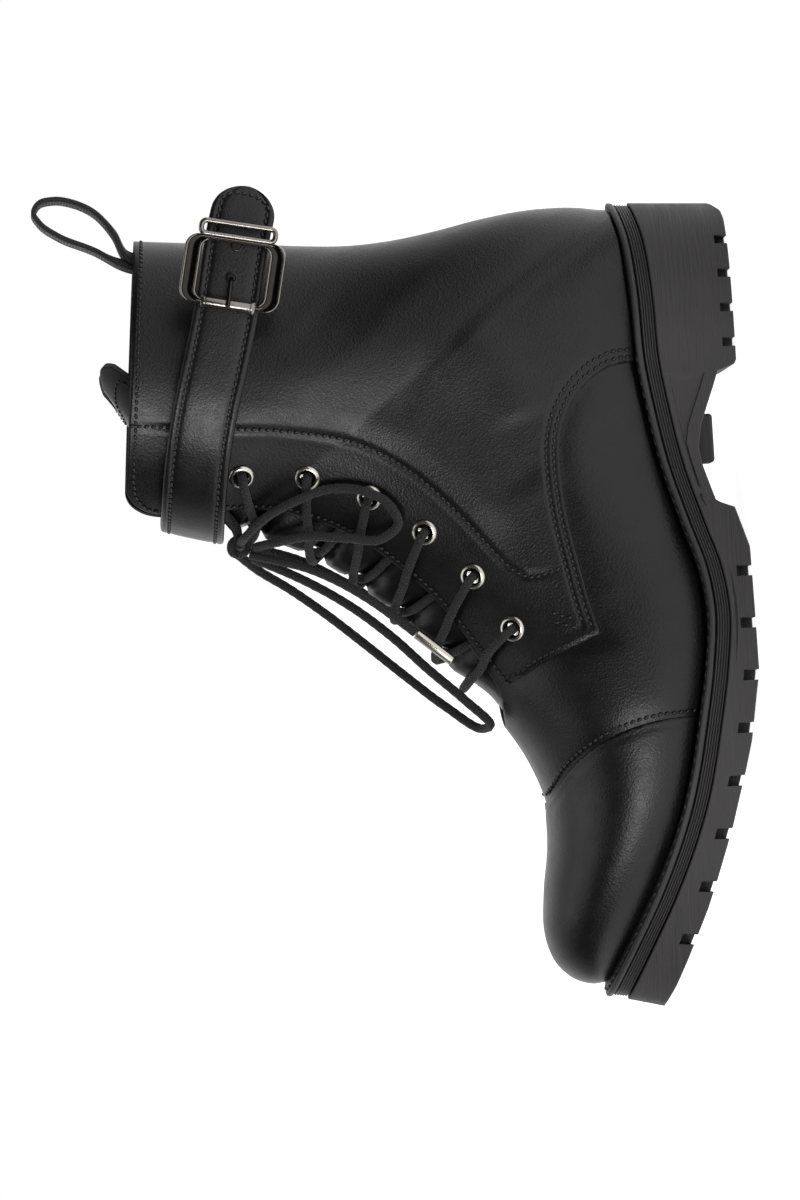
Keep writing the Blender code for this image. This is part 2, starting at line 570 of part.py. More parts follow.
def tongue_grid(depth):
    """Rows up the tongue: under the facings below, leaning back into the collar above."""
    rows = []
    for q in np.linspace(0, 1, 15):
        row = []
        for t in np.linspace(-1, 1, 12):
            high = smooth_step((q - 0.45) / 0.55)
            top = TONGUE_ROWS[1] + 1.2 * t * t - 1.5 * abs(t) ** 9
            place = TONGUE_ROWS[0] + (top - TONGUE_ROWS[0]) * q
            side = 1 if t >= 0 else -1
            reach = 8.0 + 14.0 * high
            outer = share_at_reach(place, side, reach)
            point = lifted(place, side, abs(t) * outer, -depth)
            back = 38.0 * max(0.0, (place - 16) / 11.4) ** 2
            rise = (6.0 + 9.0 * t * t) * max(0.0, (q - 0.6) / 0.4) ** 2
            row.append(point + np.array([-back, 0, rise]))
        rows.append(row)
    return rows


def make_tongue(finish, home):
    body = add_mesh("tongue", sheet(tongue_grid(TONGUE_DEPTH)), finish, home)
    wall = body.modifiers.new("wall", "SOLIDIFY")
    wall.thickness = TONGUE_THICK * MM
    wall.offset = -1
    return body


def level_with(guess, across, lift, ahead, distance):
    """Point over the throat whose distance along a direction is the wanted one."""
    low, high = guess - 3, min(guess + 3, LAST_ROW)
    for _ in range(24):
        place = (low + high) / 2
        low, high = (place, high) if over(place, across, 0) @ ahead < distance else (low, place)
    return over(place, across, lift)


def across_throat(low, high, steps, side):
    """Strand from under one facing, above its eyelet, over the tongue to the next eyelet."""
    middle = (low + high) / 2
    ahead = over(middle + 0.3, 0, 0) - over(middle - 0.3, 0, 0)
    ahead /= np.linalg.norm(ahead)
    eyelet = lifted(high, side, share_at_reach(high, side, EYELET_SETBACK), 2.4)
    last = lifted(low, -side, share_at_reach(low, -side, EYELET_SETBACK), 2.4)
    start = (0.7 * last + 0.3 * eyelet) @ ahead

    def spot(across, lift):
        distance = start + (eyelet @ ahead - 1.0 - start) * (across + 1) / 2.7
        return level_with(middle, side * across, lift, ahead, distance)

    reach = 1.9
    while np.linalg.norm(spot(reach, 2.4) - eyelet) < EYELET_FLANGE + 0.9:
        reach -= 0.05
    return [spot(across, lift) for across, lift in steps + [((reach + 0.9) / 2, 2.4), (reach, 2.4)]]


def make_lacing(places, finish, home, tools):
    """Bar across the lowest eyelets, then crossings that dive under one facing each."""
    first = places[0]
    ahead = over(first + 0.3, 0, 0) - over(first - 0.3, 0, 0)
    ahead /= np.linalg.norm(ahead)
    level = skin(first, 1, share_at_reach(first, 1, EYELET_SETBACK)) @ ahead
    bar = [level_with(first, across, 2.4, ahead, level - BAR_DIP * (1 - (across / 1.65) ** 2))
           for across in (-1.65, -1.3, -1, -0.6, -0.2, 0.2, 0.6, 1, 1.3, 1.65)]
    tube("lace_bar", bar, LACE, finish, home)
    steps = [(-0.84, -0.7), (-0.55, -0.5), (-0.2, 0.6), (0.2, 1.4), (0.6, 1.9), (0.9, 2.3)]
    under = [(across + 0.03, lift - 0.15) for across, lift in steps]
    for number, (low, high) in enumerate(zip(places, places[1:FACING_STEPS - 1]), 1):
        strand = tube(f"lace_cross_{number}", across_throat(low, high, steps, 1), LACE, finish, home)
        mate = tube(f"lace_mate_{number}", across_throat(low, high, under, -1), LACE, finish, tools)
        boolean(strand, mate, "UNION")


def make_bow(finish, metal, home, tools):
    """Knot with the two strands that feed it, two loops and two tipped ends."""
    knot = bmesh.new()
    for corner in bmesh.ops.create_uvsphere(knot, u_segments=10, v_segments=6, radius=1.0)["verts"]:
        corner.co = world([KNOT[k] + corner.co[k] * KNOT_SIZE[k] for k in range(3)])
    knot = add_mesh("lace_knot", knot, finish, home)
    forward, middle, height = KNOT
    for side in (1, -1):
        feed = tube(f"knot_feed_{side + 2}", [(99.0, 13.6 * side, 183.0), (102.2, 10.4 * side, 180.4),
                    (105.6, 6.4 * side, 178.0), (forward - 1.5, middle + 2.2 * side, height + 0.4)],
                    LACE, finish, tools, count=7)
        boolean(knot, feed, "UNION")
    tube("lace_loop_lateral", LOOP_LATERAL, LACE, finish, home)
    tube("lace_loop_medial", LOOP_MEDIAL, LACE, finish, home)
    for label, route in (("lateral", END_LATERAL), ("medial", END_MEDIAL)):
        tube(f"lace_end_{label}", route, LACE, finish, home)
        tail, before = np.array(route[-1]), np.array(route[-2])
        along = (tail - before) / np.linalg.norm(tail - before)
        start = tail + along * GAP
        tube(f"aglet_{label}", [start, start + along * AGLET["length"]], 2 * AGLET["radius"], metal, home, count=2)


def band_sections(route, wide, thick, round_end=0.0):
    """Rectangles across a flat strap: its width stands up and its face looks outwards."""
    route = np.array(route, float)
    run = np.concatenate([[0], np.cumsum(np.linalg.norm(np.diff(route, axis=0), axis=1))])
    sections = []
    for i, point in enumerate(route):
        along = route[min(i + 1, len(route) - 1)] - route[max(i - 1, 0)]
        along /= np.linalg.norm(along)
        upright = np.array(STRAP_UPRIGHT)
        up = upright - along * (along @ upright)
        up /= np.linalg.norm(up)
        out = np.cross(up, along)
        half = wide / 2
        left = run[-1] - run[i]
        if left < round_end:
            half *= math.sqrt(max(0.06, 1 - (1 - left / round_end) ** 2))
        sections.append([point + up * half + out * thick / 2, point + up * half - out * thick / 2,
                         point - up * half - out * thick / 2, point - up * half + out * thick / 2])
    return sections


def make_strap(finish, home, tools):
    body = add_mesh("strap", loft(band_sections(through(STRAP_ROUTE, 42), STRAP_WIDE, STRAP_THICK, 10.0)),
                    finish, home)
    drill = bmesh.new()
    bmesh.ops.create_cone(drill, cap_ends=True, segments=10, radius1=1.7 * MM, radius2=1.7 * MM, depth=8 * MM)
    hole = add_mesh("strap_hole", drill, finish, tools)
    turn_to(hole, (STRAP_HOLE[0], 47.7, STRAP_HOLE[1]), (0, 1, 0))
    boolean(body, hole, "DIFFERENCE")


def on_buckle(along, across, out):
    """Point by the buckle's own directions: along the strap, across it, and outwards."""
    cosine, sine = math.cos(BUCKLE_SLOPE), math.sin(BUCKLE_SLOPE)
    forward, side, height = BUCKLE_MIDDLE
    return (forward + along * cosine - across * sine, side + out, height + along * sine + across * cosine)


def rounded_outline(half_long, half_wide, radius, steps=3):
    """Corner-rounded rectangle, counter-clockwise."""
    outline = []
    for quarter, (sx, sy) in enumerate([(1, 1), (-1, 1), (-1, -1), (1, -1)]):
        for k in range(steps + 1):
            angle = (quarter + k / steps) * math.pi / 2
            outline.append((sx * (half_long - radius) + radius * math.cos(angle),
                            sy * (half_wide - radius) + radius * math.sin(angle)))
    return outline


def flat_ring(long, wide, bar_long, bar_wide, thick, shift=0.0, radius=5.0):
    """Rectangular ring with round corners on the buckle's plane."""
    outer = rounded_outline(long / 2, wide / 2, radius)
    inner = rounded_outline(long / 2 - bar_long, wide / 2 - bar_wide, max(0.8, radius - bar_long))
    shape = bmesh.new()
    loops = []
    for outline, level in ((outer, -0.5), (outer, 0.5), (inner, 0.5), (inner, -0.5)):
        loops.append([shape.verts.new(world(on_buckle(x + shift, y, level * thick))) for x, y in outline])
    count = len(outer)
    for low, high in zip(loops, loops[1:] + loops[:1]):
        for i in range(count):
            j = (i + 1) % count
            shape.faces.new((low[i], low[j], high[j], high[i]))
    return shape


def make_buckle(metal, leather, home, tools):
    frame = add_mesh("buckle_frame", flat_ring(BUCKLE_LONG, BUCKLE_WIDE, BUCKLE_BAR, BUCKLE_RAIL, BUCKLE_THICK),
                     metal, home)
    behind = -(BUCKLE_LONG + KEEPER["long"]) / 2 + 0.6
    keeper = add_mesh("buckle_keeper", flat_ring(KEEPER["long"], KEEPER["wide"], KEEPER["wire"], KEEPER["wire"],
                      KEEPER["wire"], shift=behind, radius=2.4), metal, tools)
    boolean(frame, keeper, "UNION")
    along, drop = MIDDLE_BAR
    bar = tube("buckle_bar", [on_buckle(along, across, out) for across, out in
               ((-14.8, -0.2), (-14.8, drop + 2.6), (-14.0, drop + 0.6), (-12, drop), (-4, drop), (4, drop),
                (12, drop), (14.0, drop + 0.6), (14.8, drop + 2.6), (14.8, -0.2))], 2.0, metal, tools, count=20)
    boolean(frame, bar, "UNION")
    front = (BUCKLE_LONG - BUCKLE_BAR) / 2
    roller = turned([(ROLLER["bore"], -ROLLER["long"] / 2), (ROLLER["radius"], -ROLLER["long"] / 2),
                     (ROLLER["radius"], ROLLER["long"] / 2), (ROLLER["bore"], ROLLER["long"] / 2)],
                    14, "buckle_roller", metal, home)
    across = np.array(on_buckle(front, 1, 0)) - np.array(on_buckle(front, 0, 0))
    turn_to(roller, on_buckle(front, 0, 0), across)
    reach = (STRAP_HOLE[0] - BUCKLE_MIDDLE[0]) / math.cos(BUCKLE_SLOPE)
    tube("buckle_prong", [on_buckle(along, 0, out) for along, out in
         ((reach, -4.9), (reach, -2.8), (reach + 1.3, -0.4), (reach + 4, 1.5), (front - 2.2, 3.3),
          (front, 3.75), (front + 1.4, 3.75))], 1.8, metal, home, count=12)
    make_chape(leather, home)


def make_chape(finish, home):
    """Short strap sewn to the shaft and folded round the buckle's middle bar."""
    along, out = MIDDLE_BAR
    turn = [(along + CHAPE_TURN * math.cos(angle), out + CHAPE_TURN * math.sin(angle))
            for angle in np.linspace(1.5, 0.5, 7) * math.pi]
    route = through(CHAPE_SEWN + turn + CHAPE_BACK, 32)
    sections = []
    for i, spot in enumerate(route):
        ahead = route[min(i + 1, len(route) - 1)] - route[max(i - 1, 0)]
        normal = np.array([-ahead[1], ahead[0]]) / np.linalg.norm(ahead) * CHAPE_THICK / 2
        sections.append([on_buckle(a, across, b) for across, (a, b) in
                         ((CHAPE_WIDE / 2, spot + normal), (CHAPE_WIDE / 2, spot - normal),
                          (-CHAPE_WIDE / 2, spot - normal), (-CHAPE_WIDE / 2, spot + normal))])
    add_mesh("buckle_chape", loft(sections), finish, home)


def make_pull_loop(finish, home):
    """Webbing folded over and sewn inside the back of the collar, bowed with the shaft there."""
    route = through(PULL_ROUTE, 20)
    grids = []
    for level in (0.5, -0.5):
        rows = []
        for i, (forward, height) in enumerate(route):
            ahead = route[min(i + 1, len(route) - 1)] - route[max(i - 1, 0)]
            ahead /= np.linalg.norm(ahead)
            out = np.array([-ahead[1], ahead[0]]) * PULL_THICK * level
            bow = 2.9 * (1 - smooth_step((height - 207) / 16))
            rows.append([(forward + out[0] + bow * t * t, t * PULL_WIDE / 2, height + out[1])
                         for t in np.linspace(-1, 1, 5)])
        grids.append(rows)
    sections = [front + back[::-1] for front, back in zip(*grids)]
    return add_mesh("pull_loop", loft(sections), finish, home)


def medial_wall(forward, height):
    """Point and normal of the last's medial side at one place of the side view."""
    target = np.array([forward, height])
    best = np.array([22.0, 0.6])
    for _ in range(40):
        here = skin(best[0], -1, best[1])[[0, 2]]
        steps = [(skin(best[0] + 0.05, -1, best[1])[[0, 2]] - here) / 0.05,
                 (skin(best[0], -1, best[1] + 0.01)[[0, 2]] - here) / 0.01]
        move = np.linalg.lstsq(np.array(steps).T, target - here, rcond=None)[0]
        best = np.clip(best + np.clip(move, [-1.5, -0.15], [1.5, 0.15]), [10, 0.02], [LAST_ROW - 0.05, 0.97])
    return skin_frame(best[0], -1, best[1])


def make_zip(metal, home, tools):
    line = through(ZIP_LINE, 18)
    sections = []
    for forward, height in line:
        point, normal = medial_wall(forward, height)
        wide = np.array([1.0, 0, 0]) - normal * normal[0]
        wide /= np.linalg.norm(wide)
        low, high = normal * 0.45, normal * (0.45 + ZIP_THICK)
        half = wide * ZIP_WIDE / 2
        sections.append([point - half + low, point + half + low, point + half + high, point - half + high])
    add_mesh("zip_chain", loft(sections), metal, home)
    forward, side, height = PIVOT
    slider = block("zip_slider", (forward, side + 2.55, height), (7.0, 2.4, 9.5), metal, home)
    bridge = tube("slider_bridge", [(forward, side + 2.4, height - 3.6), (forward, side - 0.6, height - 3.3),
                  (forward, side - 1.7, height - 1.6), (forward, side - 1.7, height + 1.6),
                  (forward, side - 0.6, height + 3.3), (forward, side + 2.4, height + 3.6)], 1.5, metal, tools, count=12)
    boolean(slider, bridge, "UNION")
    pull = tube("zip_pull", [(forward - 2.9, side, height), (forward + 2.9, side, height)], 1.2, metal, home, count=2)
    pull.data.transform(Matrix.Translation(-world(PIVOT)))
    pull.location = world(PIVOT)
    for arm in (-1, 1):
        boolean(pull, block(f"pull_arm_{arm + 2}", (forward + 2.3 * arm, side, height - 3.3), (1.2, 1.3, 7.4),
                            metal, tools), "UNION")
    boolean(pull, block("pull_tab", (forward, side, height - 14.2), (6.2, 1.5, 16.5), metal, tools), "UNION")


def block(name, middle, size, finish, home):
    shape = bmesh.new()
    for corner in bmesh.ops.create_cube(shape, size=1.0)["verts"]:
        corner.co = world(tuple(middle[k] + corner.co[k] * size[k] for k in range(3)))
    return add_mesh(name, shape, finish, home)


def clear_scene():
    for old in list(bpy.data.objects):
        bpy.data.objects.remove(old)


def main():
    clear_scene()
    home = collection("lace_up_ankle_boot")
    tools = collection("cutters")
    leather = material("smooth_black_leather", (0.012, 0.012, 0.013), 0.42)
    rubber = material("black_rubber", (0.02, 0.02, 0.021), 0.62)
    board = material("insole_board", (0.03, 0.028, 0.026), 0.8)
    nickel = material("gunmetal_nickel", (0.32, 0.31, 0.3), 0.22, 1.0)
    make_outsole(rubber, home, tools)
    make_midsole(rubber, home)
    make_welt(rubber, home)
    make_insole(board, home)
    upper = make_upper(leather, home)
    webbing = material("black_webbing", (0.015, 0.014, 0.018), 0.85)
    lace = material("black_lace", (0.014, 0.013, 0.015), 0.8)
    make_tongue(leather, home)
    places = eyelet_places()
    make_eyelets(upper, places, nickel, home, tools)
    make_lacing(places, lace, home, tools)
    make_bow(lace, nickel, home, tools)
    make_strap(leather, home, tools)
    make_buckle(nickel, leather, home, tools)
    make_pull_loop(webbing, home)
    make_zip(nickel, home, tools)


main()
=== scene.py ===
"""Looks of the lace-up ankle work boot, left foot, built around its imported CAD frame.

Lengths are millimetres and are turned into metres as a mesh is made. A point of the boot is
(forward, side, height): forward runs from the back of the heel towards the toe, side is plus on
the outer (lateral) side, height is above the floor. A spot on the last is (place, reach): place
runs along the last's sections from the toe to the collar, and reach runs from 0 on the ridge to
1 at the sole or the back line, minus on the inner (medial) side.
"""
from __future__ import annotations

import json
import logging
import math
from dataclasses import dataclass, field
from enum import Enum
from typing import Callable, Sequence

import bmesh
import bpy
import numpy as np
from mathutils import Matrix, Vector

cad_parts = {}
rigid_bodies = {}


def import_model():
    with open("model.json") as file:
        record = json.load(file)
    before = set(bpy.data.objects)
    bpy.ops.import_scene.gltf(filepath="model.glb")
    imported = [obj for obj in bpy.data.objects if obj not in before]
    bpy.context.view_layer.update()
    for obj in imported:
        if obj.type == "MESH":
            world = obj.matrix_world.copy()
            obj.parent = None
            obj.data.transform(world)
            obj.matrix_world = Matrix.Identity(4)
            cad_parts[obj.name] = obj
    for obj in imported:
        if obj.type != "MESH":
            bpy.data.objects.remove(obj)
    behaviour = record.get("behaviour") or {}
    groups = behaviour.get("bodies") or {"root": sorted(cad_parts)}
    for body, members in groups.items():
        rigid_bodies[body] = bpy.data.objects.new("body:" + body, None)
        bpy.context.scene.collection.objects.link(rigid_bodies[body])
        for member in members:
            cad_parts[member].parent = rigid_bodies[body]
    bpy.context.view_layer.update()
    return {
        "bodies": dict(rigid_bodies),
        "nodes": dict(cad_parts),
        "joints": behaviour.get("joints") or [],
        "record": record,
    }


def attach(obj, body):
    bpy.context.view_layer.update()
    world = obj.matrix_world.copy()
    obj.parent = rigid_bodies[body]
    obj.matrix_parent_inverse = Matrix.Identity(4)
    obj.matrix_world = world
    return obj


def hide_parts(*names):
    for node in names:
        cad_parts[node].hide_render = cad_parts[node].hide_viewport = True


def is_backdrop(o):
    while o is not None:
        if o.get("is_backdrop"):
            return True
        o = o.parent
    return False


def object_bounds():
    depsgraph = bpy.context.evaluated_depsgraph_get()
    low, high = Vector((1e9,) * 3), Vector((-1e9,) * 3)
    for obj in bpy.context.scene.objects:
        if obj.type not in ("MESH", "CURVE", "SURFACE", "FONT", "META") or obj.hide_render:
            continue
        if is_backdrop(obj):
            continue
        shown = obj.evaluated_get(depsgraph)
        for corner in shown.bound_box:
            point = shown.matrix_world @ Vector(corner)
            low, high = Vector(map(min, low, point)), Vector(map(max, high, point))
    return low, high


LOG = logging.getLogger("boot")
Route = Sequence[Sequence[float]]

# ---- Sizes shared with the solids -------------------------------------------------------
MM = 0.001
FORWARD_MIDDLE = 134.1      # the frame's origin, in the boot's own directions
SIDE_MIDDLE = 2.2
GAP = 0.3                   # left between the layers of the sole
LATERAL_EDGE = (            # forward, half width of the sole to the lateral side
    (0, 0), (1.2, 9), (5, 18.5), (13, 29), (24, 36), (40, 39.2), (60, 39), (80, 39.6),
    (95, 41.4), (110, 44.6), (130, 49), (150, 52.2), (168, 53.2), (186, 52.6), (205, 50.4),
    (222, 46.8), (238, 42), (253, 35.4), (267, 26.6), (277, 16.8), (282.4, 8), (284, 0))
MEDIAL_EDGE = (             # forward, half width of the sole to the medial side
    (0, 0), (1.2, 9), (5, 18.5), (13, 29), (24, 35.6), (40, 38), (60, 36.6), (80, 35),
    (95, 35.4), (110, 37.8), (130, 42.6), (150, 47.2), (168, 50.2), (186, 51.4), (205, 50.6),
    (222, 48), (238, 43.8), (253, 37.8), (267, 29.8), (277, 20.4), (282.4, 11), (284, 0))
FEATHER = (                 # forward, height of the welt's top face
    (-5, 40.8), (10, 37.6), (30, 35.8), (58, 34.6), (73, 32.4), (93, 28.7), (114, 22.9),
    (130, 18.2), (145, 16.4), (165, 18.2), (183, 21.4), (217, 29.4), (247, 41.6),
    (262, 49.2), (276, 56.2), (286, 61))
TREAD = (                   # forward, height of the underside
    (-5, 0), (0, 4), (3.5, 0.6), (7, 0), (57.8, 0), (59.3, 0.8), (61.3, 6.8), (66.5, 8.6),
    (73, 11.2), (80, 13.8), (88, 15.3), (94.5, 14.2), (107, 10.5), (109.6, 4.2), (117, 2.0),
    (124, 0), (168, 0), (176, 1.4),
    (192, 4), (202, 6.6), (211, 9.2), (221, 12), (230, 15), (240, 18.4), (250, 22),
    (258, 25.4), (268, 29.6), (277, 33.6), (284, 37.4), (290, 41))
WELT_THICK = 2.4
MIDSOLE_THICK = 4.6
MIDSOLE_INSET = 0.9
TOE_LEAN = -4.7             # how far forward the sole's wall moves up to the welt, at the toe's end
TOE_LEAN_FROM = 200.0       # where the lean at the toe starts
TOE_LEAN_RUN = 84.0         # and the length over which it grows
HEEL_LEAN = -2.5            # the lean at the heel's end
HEEL_LEAN_RUN = 60.0
HEEL_BREAST = 61.3          # front of the heel block
ARCH_END = 109.6            # back of the forepart
TREAD_CORNERS = (57.8, 59.3, HEEL_BREAST, ARCH_END)     # where the underside turns sharply
LUGS = (                    # first notch, pitch, count, width, depth, reach under the sole
    (132.3, 18.35, 8, 3.6, 5.4, 17.0),
    (14.8, 12.2, 4, 3.0, 4.5, 13.0))
SHANK_LUG = ((74.5, -22.0, 6.5), (92.0, -6.0, 19.5))   # its lowest and highest corners
# Sections of the last, from the toe to the collar. Columns: forward and height on the ridge; forward and height
# at the far end (the foot's rows take that height from the feather line); side of the middle line; half width,
# lateral and medial; half width at the far end, lateral and medial; share of the length before the widest point;
# power of its roundness.
FOOT_ROWS = (
    (273.9, 57.2, 272.9, 0, -3.0, 8.6, 8.6, 8.4, 8.4, 0.55, 2.0),
    (274.3, 62.6, 270.6, 0, -2.8, 13.6, 13.6, 13.0, 13.0, 0.58, 2.0),
    (271.6, 69.4, 266.0, 0, -2.4, 19.8, 19.8, 18.8, 18.8, 0.61, 2.05),
    (264.8, 75.4, 259.0, 0, -2.0, 26.2, 26.2, 24.9, 24.9, 0.64, 2.1),
    (254.0, 78.2, 249.4, 0, -1.5, 32.2, 32.4, 30.4, 30.6, 0.67, 2.15),
    (240.0, 77.4, 236.4, 0, -0.8, 37.6, 37.8, 35.4, 35.6, 0.70, 2.15),
    (224.0, 75.2, 221.6, 0, -0.2, 42.0, 41.8, 39.6, 39.2, 0.72, 2.1),
    (207.5, 75.8, 206.0, 0, 0.2, 45.2, 44.4, 42.6, 41.4, 0.74, 2.05),
    (193.0, 80.8, 190.0, 0, 0.6, 46.8, 45.2, 44.0, 41.4, 0.76, 1.95),
    (178.0, 90.2, 173.0, 0, 0.8, 47.2, 44.8, 44.2, 39.6, 0.77, 1.88),
    (163.0, 101.8, 155.0, 0, 0.9, 46.4, 43.6, 43.0, 36.6, 0.78, 1.8),
    (149.0, 113.8, 136.0, 0, 0.8, 44.8, 42.0, 40.6, 33.6, 0.78, 1.75),
    (136.0, 126.3, 114.0, 0, 0.4, 42.9, 40.9, 37.6, 31.0, 0.75, 1.75),
    (124.8, 138.8, 90.0, 0, 0.0, 41.4, 40.4, 35.4, 30.4, 0.71, 1.85),
    (116.6, 150.8, 62.0, 0, 0.0, 40.4, 40.0, 34.4, 32.4, 0.67, 1.9),
    (111.4, 161.0, 36.0, 0, 0.0, 39.8, 39.8, 34.0, 33.6, 0.63, 1.94),
    (108.2, 169.2, 16.0, 0, 0.0, 39.4, 39.4, 28.6, 28.6, 0.59, 1.96),
    (106.8, 174.2, 5.5, 0, 0.0, 39.1, 39.1, 18.0, 18.0, 0.57, 1.97),
    (106.0, 177.6, 1.2, 0, 0.0, 38.9, 38.9, 8.0, 8.0, 0.56, 1.98))
SHAFT_ROWS = (
    (105.4, 180.4, -0.2, 44.5, 0.0, 38.8, 38.8, 0.0, 0.0, 0.55, 1.98),
    (104.9, 183.6, -1.5, 55.0, 0.0, 38.7, 38.7, 0.0, 0.0, 0.54, 1.98),
    (104.4, 187.6, -1.2, 70.0, 0.0, 38.6, 38.6, 0.0, 0.0, 0.53, 1.98),
    (103.9, 191.8, 1.0, 86.0, 0.0, 38.6, 38.6, 0.0, 0.0, 0.53, 1.98),
    (103.5, 196.0, 4.2, 102.0, 0.0, 38.5, 38.5, 0.0, 0.0, 0.52, 1.98),
    (103.2, 200.2, 6.6, 118.0, 0.0, 38.4, 38.4, 0.0, 0.0, 0.52, 1.98),
    (102.9, 204.2, 7.4, 134.0, 0.0, 38.2, 38.2, 0.0, 0.0, 0.52, 1.98),
    (102.6, 208.0, 6.4, 150.0, 0.0, 38.0, 38.0, 0.0, 0.0, 0.52, 1.98),
    (102.2, 211.4, 4.6, 168.0, 0.0, 37.9, 37.9, 0.0, 0.0, 0.52, 1.98),
    (101.6, 214.4, 3.2, 187.0, 0.0, 37.8, 37.8, 0.0, 0.0, 0.52, 1.98),
    (101.0, 217.8, 1.2, 208.3, 0.0, 37.8, 37.8, 0.0, 0.0, 0.52, 1.98))
THROAT_ROW = 9.55           # place of the facings' lower end
EDGE_REACH = 0.25           # reach of the facings' edges
THROAT_GAP = (              # place, half gap between the facings
    (9.0, 22.5), (9.8, 23.5), (10.8, 22.5), (12.0, 22.8), (13.4, 22.0), (15.6, 18.8),
    (18.0, 17.4), (21.0, 16.4), (24.0, 15.0), (26.0, 13.8), (29.0, 12.6))
EYELET_FIRST = 23.5         # from the facing's lower end
EYELET_PITCH = 23.1
EYELET_SETBACK = 19.6       # behind the facing's edge
EYELETS = 7                 # on each side
LACE = 3.4                  # thickness of the lace
BAR_DIP = 3.0               # how far the lowest bar bows towards the toe
STRAP_WIDE = 22.6
STRAP_THICK = 2.6
STRAP_ROUTE = (             # forward, side, height of the strap's middle line
    (57, -39.35, 187.4), (68, -39.2, 189.0), (82, -36.6, 191.0), (95, -29.0, 192.8),
    (103.4, -16, 193.8), (106.4, 0, 194.0), (103.8, 17, 194.0), (95, 31.5, 193.2),
    (80, 41.4, 191.0), (62, 46.6, 186.9), (44, 47.8, 181.8), (28, 47.8, 177.6),
    (12, 47.6, 174.2), (1, 47.0, 171.6), (-6.4, 44.8, 169.2), (-12.4, 41.8, 167.1))
STRAP_UPRIGHT = (-0.28, 0.0, 1.0)        # the strap leans back with the shaft's front
STRAP_HOLES = ((19.0, 175.7), (7.7, 173.1))     # forward, height
BUCKLE_MIDDLE = (17.4, 51.75, 175.3)     # forward, side, height
BUCKLE_SLOPE = math.radians(12.0)
BUCKLE_SIZE = (24.5, 35.8, 1.8, 6.0)     # along and across the strap, bar, rail
BUCKLE_CORNER = 5.0
KEEPER_SIZE = (6.4, 28.0, 1.9)           # along and across the strap, wire
KEEPER_SHIFT = -14.85                    # from the buckle's middle
ROLLER_LONG = 19.0
ZIP_LINE = (                # forward, height along the inner side
    (50, 209.5), (50.6, 190), (51.8, 165), (54, 140), (57, 115), (60.5, 92), (62.5, 80))
PULL_WIDE = 23.0
PULL_THICK = 1.8
PULL_ROUTE = (              # forward, height of the folded webbing
    (7.0, 196.5), (6.9, 205.0), (5.0, 211.2), (-2.6, 215.2), (-8.6, 220.6), (-13.2, 228.5),
    (-14.8, 236), (-13.6, 241.4), (-10.6, 243.2), (-7.0, 241.4), (-2.0, 235.2), (2.8, 225),
    (8.0, 213), (9.2, 204.5), (9.5, 196.5))
TONGUE_DEPTH = 3.3          # under the last's face
TONGUE_TOP = 27.4           # place of its upper edge
KNOT = (111.6, 1.0, 177.6)  # this and the four routes below: forward, side, height
LOOP_LATERAL = (
    (110.4, 8.0, 177.2), (108.6, 14, 175.4), (103.4, 21.6, 169.4), (98.2, 30.0, 158.8),
    (94.4, 32.8, 146), (95.8, 35.6, 134), (101.2, 37.0, 125.2), (108.2, 37.4, 122.4),
    (113.0, 35.8, 128.4), (112.0, 33.0, 140), (110.4, 27.6, 153), (111.6, 16.8, 165.6), (112.4, 8.0, 172.0))
LOOP_MEDIAL = (
    (114.6, -4.6, 178.0), (120.0, -9.2, 171.6), (127.6, -12.2, 160.4), (137.2, -12.6, 148.2),
    (148.6, -11.4, 135.2), (160.8, -8, 121.8), (172.8, -2.5, 108.2), (181.6, 4.5, 96.0),
    (180.4, 11.0, 93.2), (171.4, 13.6, 101.6), (159.6, 10.6, 113.8), (147.0, 6.4, 126.0),
    (135.4, 2.6, 139.6), (125.6, 0.4, 154.6), (119.0, -0.9, 167.2), (116.2, -1.6, 173.2))
END_LATERAL = (
    (115.2, 4.8, 173.8), (117.6, 9.6, 165.6), (121.0, 14.0, 155.0), (126.6, 17.6, 144.0),
    (133.6, 20.0, 133.6), (141.4, 21.4, 124.0), (146.6, 21.8, 118.0))
END_MEDIAL = (
    (112.0, -5.4, 173.6), (114.2, -12.4, 165.4), (117.6, -18.8, 155.6), (123.0, -23.2, 145.4),
    (129.4, -26.2, 135.2), (136.6, -28.2, 125.4), (141.4, -29.0, 119.6))


# ---- Curves ------------------------------------------------------------------------------
def spline(knots: np.ndarray, values: np.ndarray, wanted: np.ndarray) -> np.ndarray:
    """Smooth curve through rows of values.

    Args:
        knots: rising place of each row.
        values: rows of one or more numbers.
        wanted: places to read.

    Returns:
        One row for each wanted place.
    """
    knots, values = np.asarray(knots, float), np.asarray(values, float)
    flat = values.reshape(len(knots), -1)
    steps = np.diff(knots)[:, None]
    slopes = np.diff(flat, axis=0) / steps
    middle = (slopes[:-1] * steps[1:] + slopes[1:] * steps[:-1]) / (steps[:-1] + steps[1:])
    tangents = np.vstack([slopes[:1], middle, slopes[-1:]])
    wanted = np.atleast_1d(np.asarray(wanted, float))
    cell = np.clip(np.searchsorted(knots, wanted, side="right") - 1, 0, len(knots) - 2)
    span = (knots[cell + 1] - knots[cell])[:, None]
    t = (wanted - knots[cell])[:, None] / span
    return ((2 * t**3 - 3 * t**2 + 1) * flat[cell] + (t**3 - 2 * t**2 + t) * span * tangents[cell]
            + (3 * t**2 - 2 * t**3) * flat[cell + 1] + (t**3 - t**2) * span * tangents[cell + 1])


def run_of(points: np.ndarray) -> np.ndarray:
    """Length along a line of points, at each point."""
    return np.concatenate([[0.0], np.cumsum(np.linalg.norm(np.diff(points, axis=0), axis=1))])


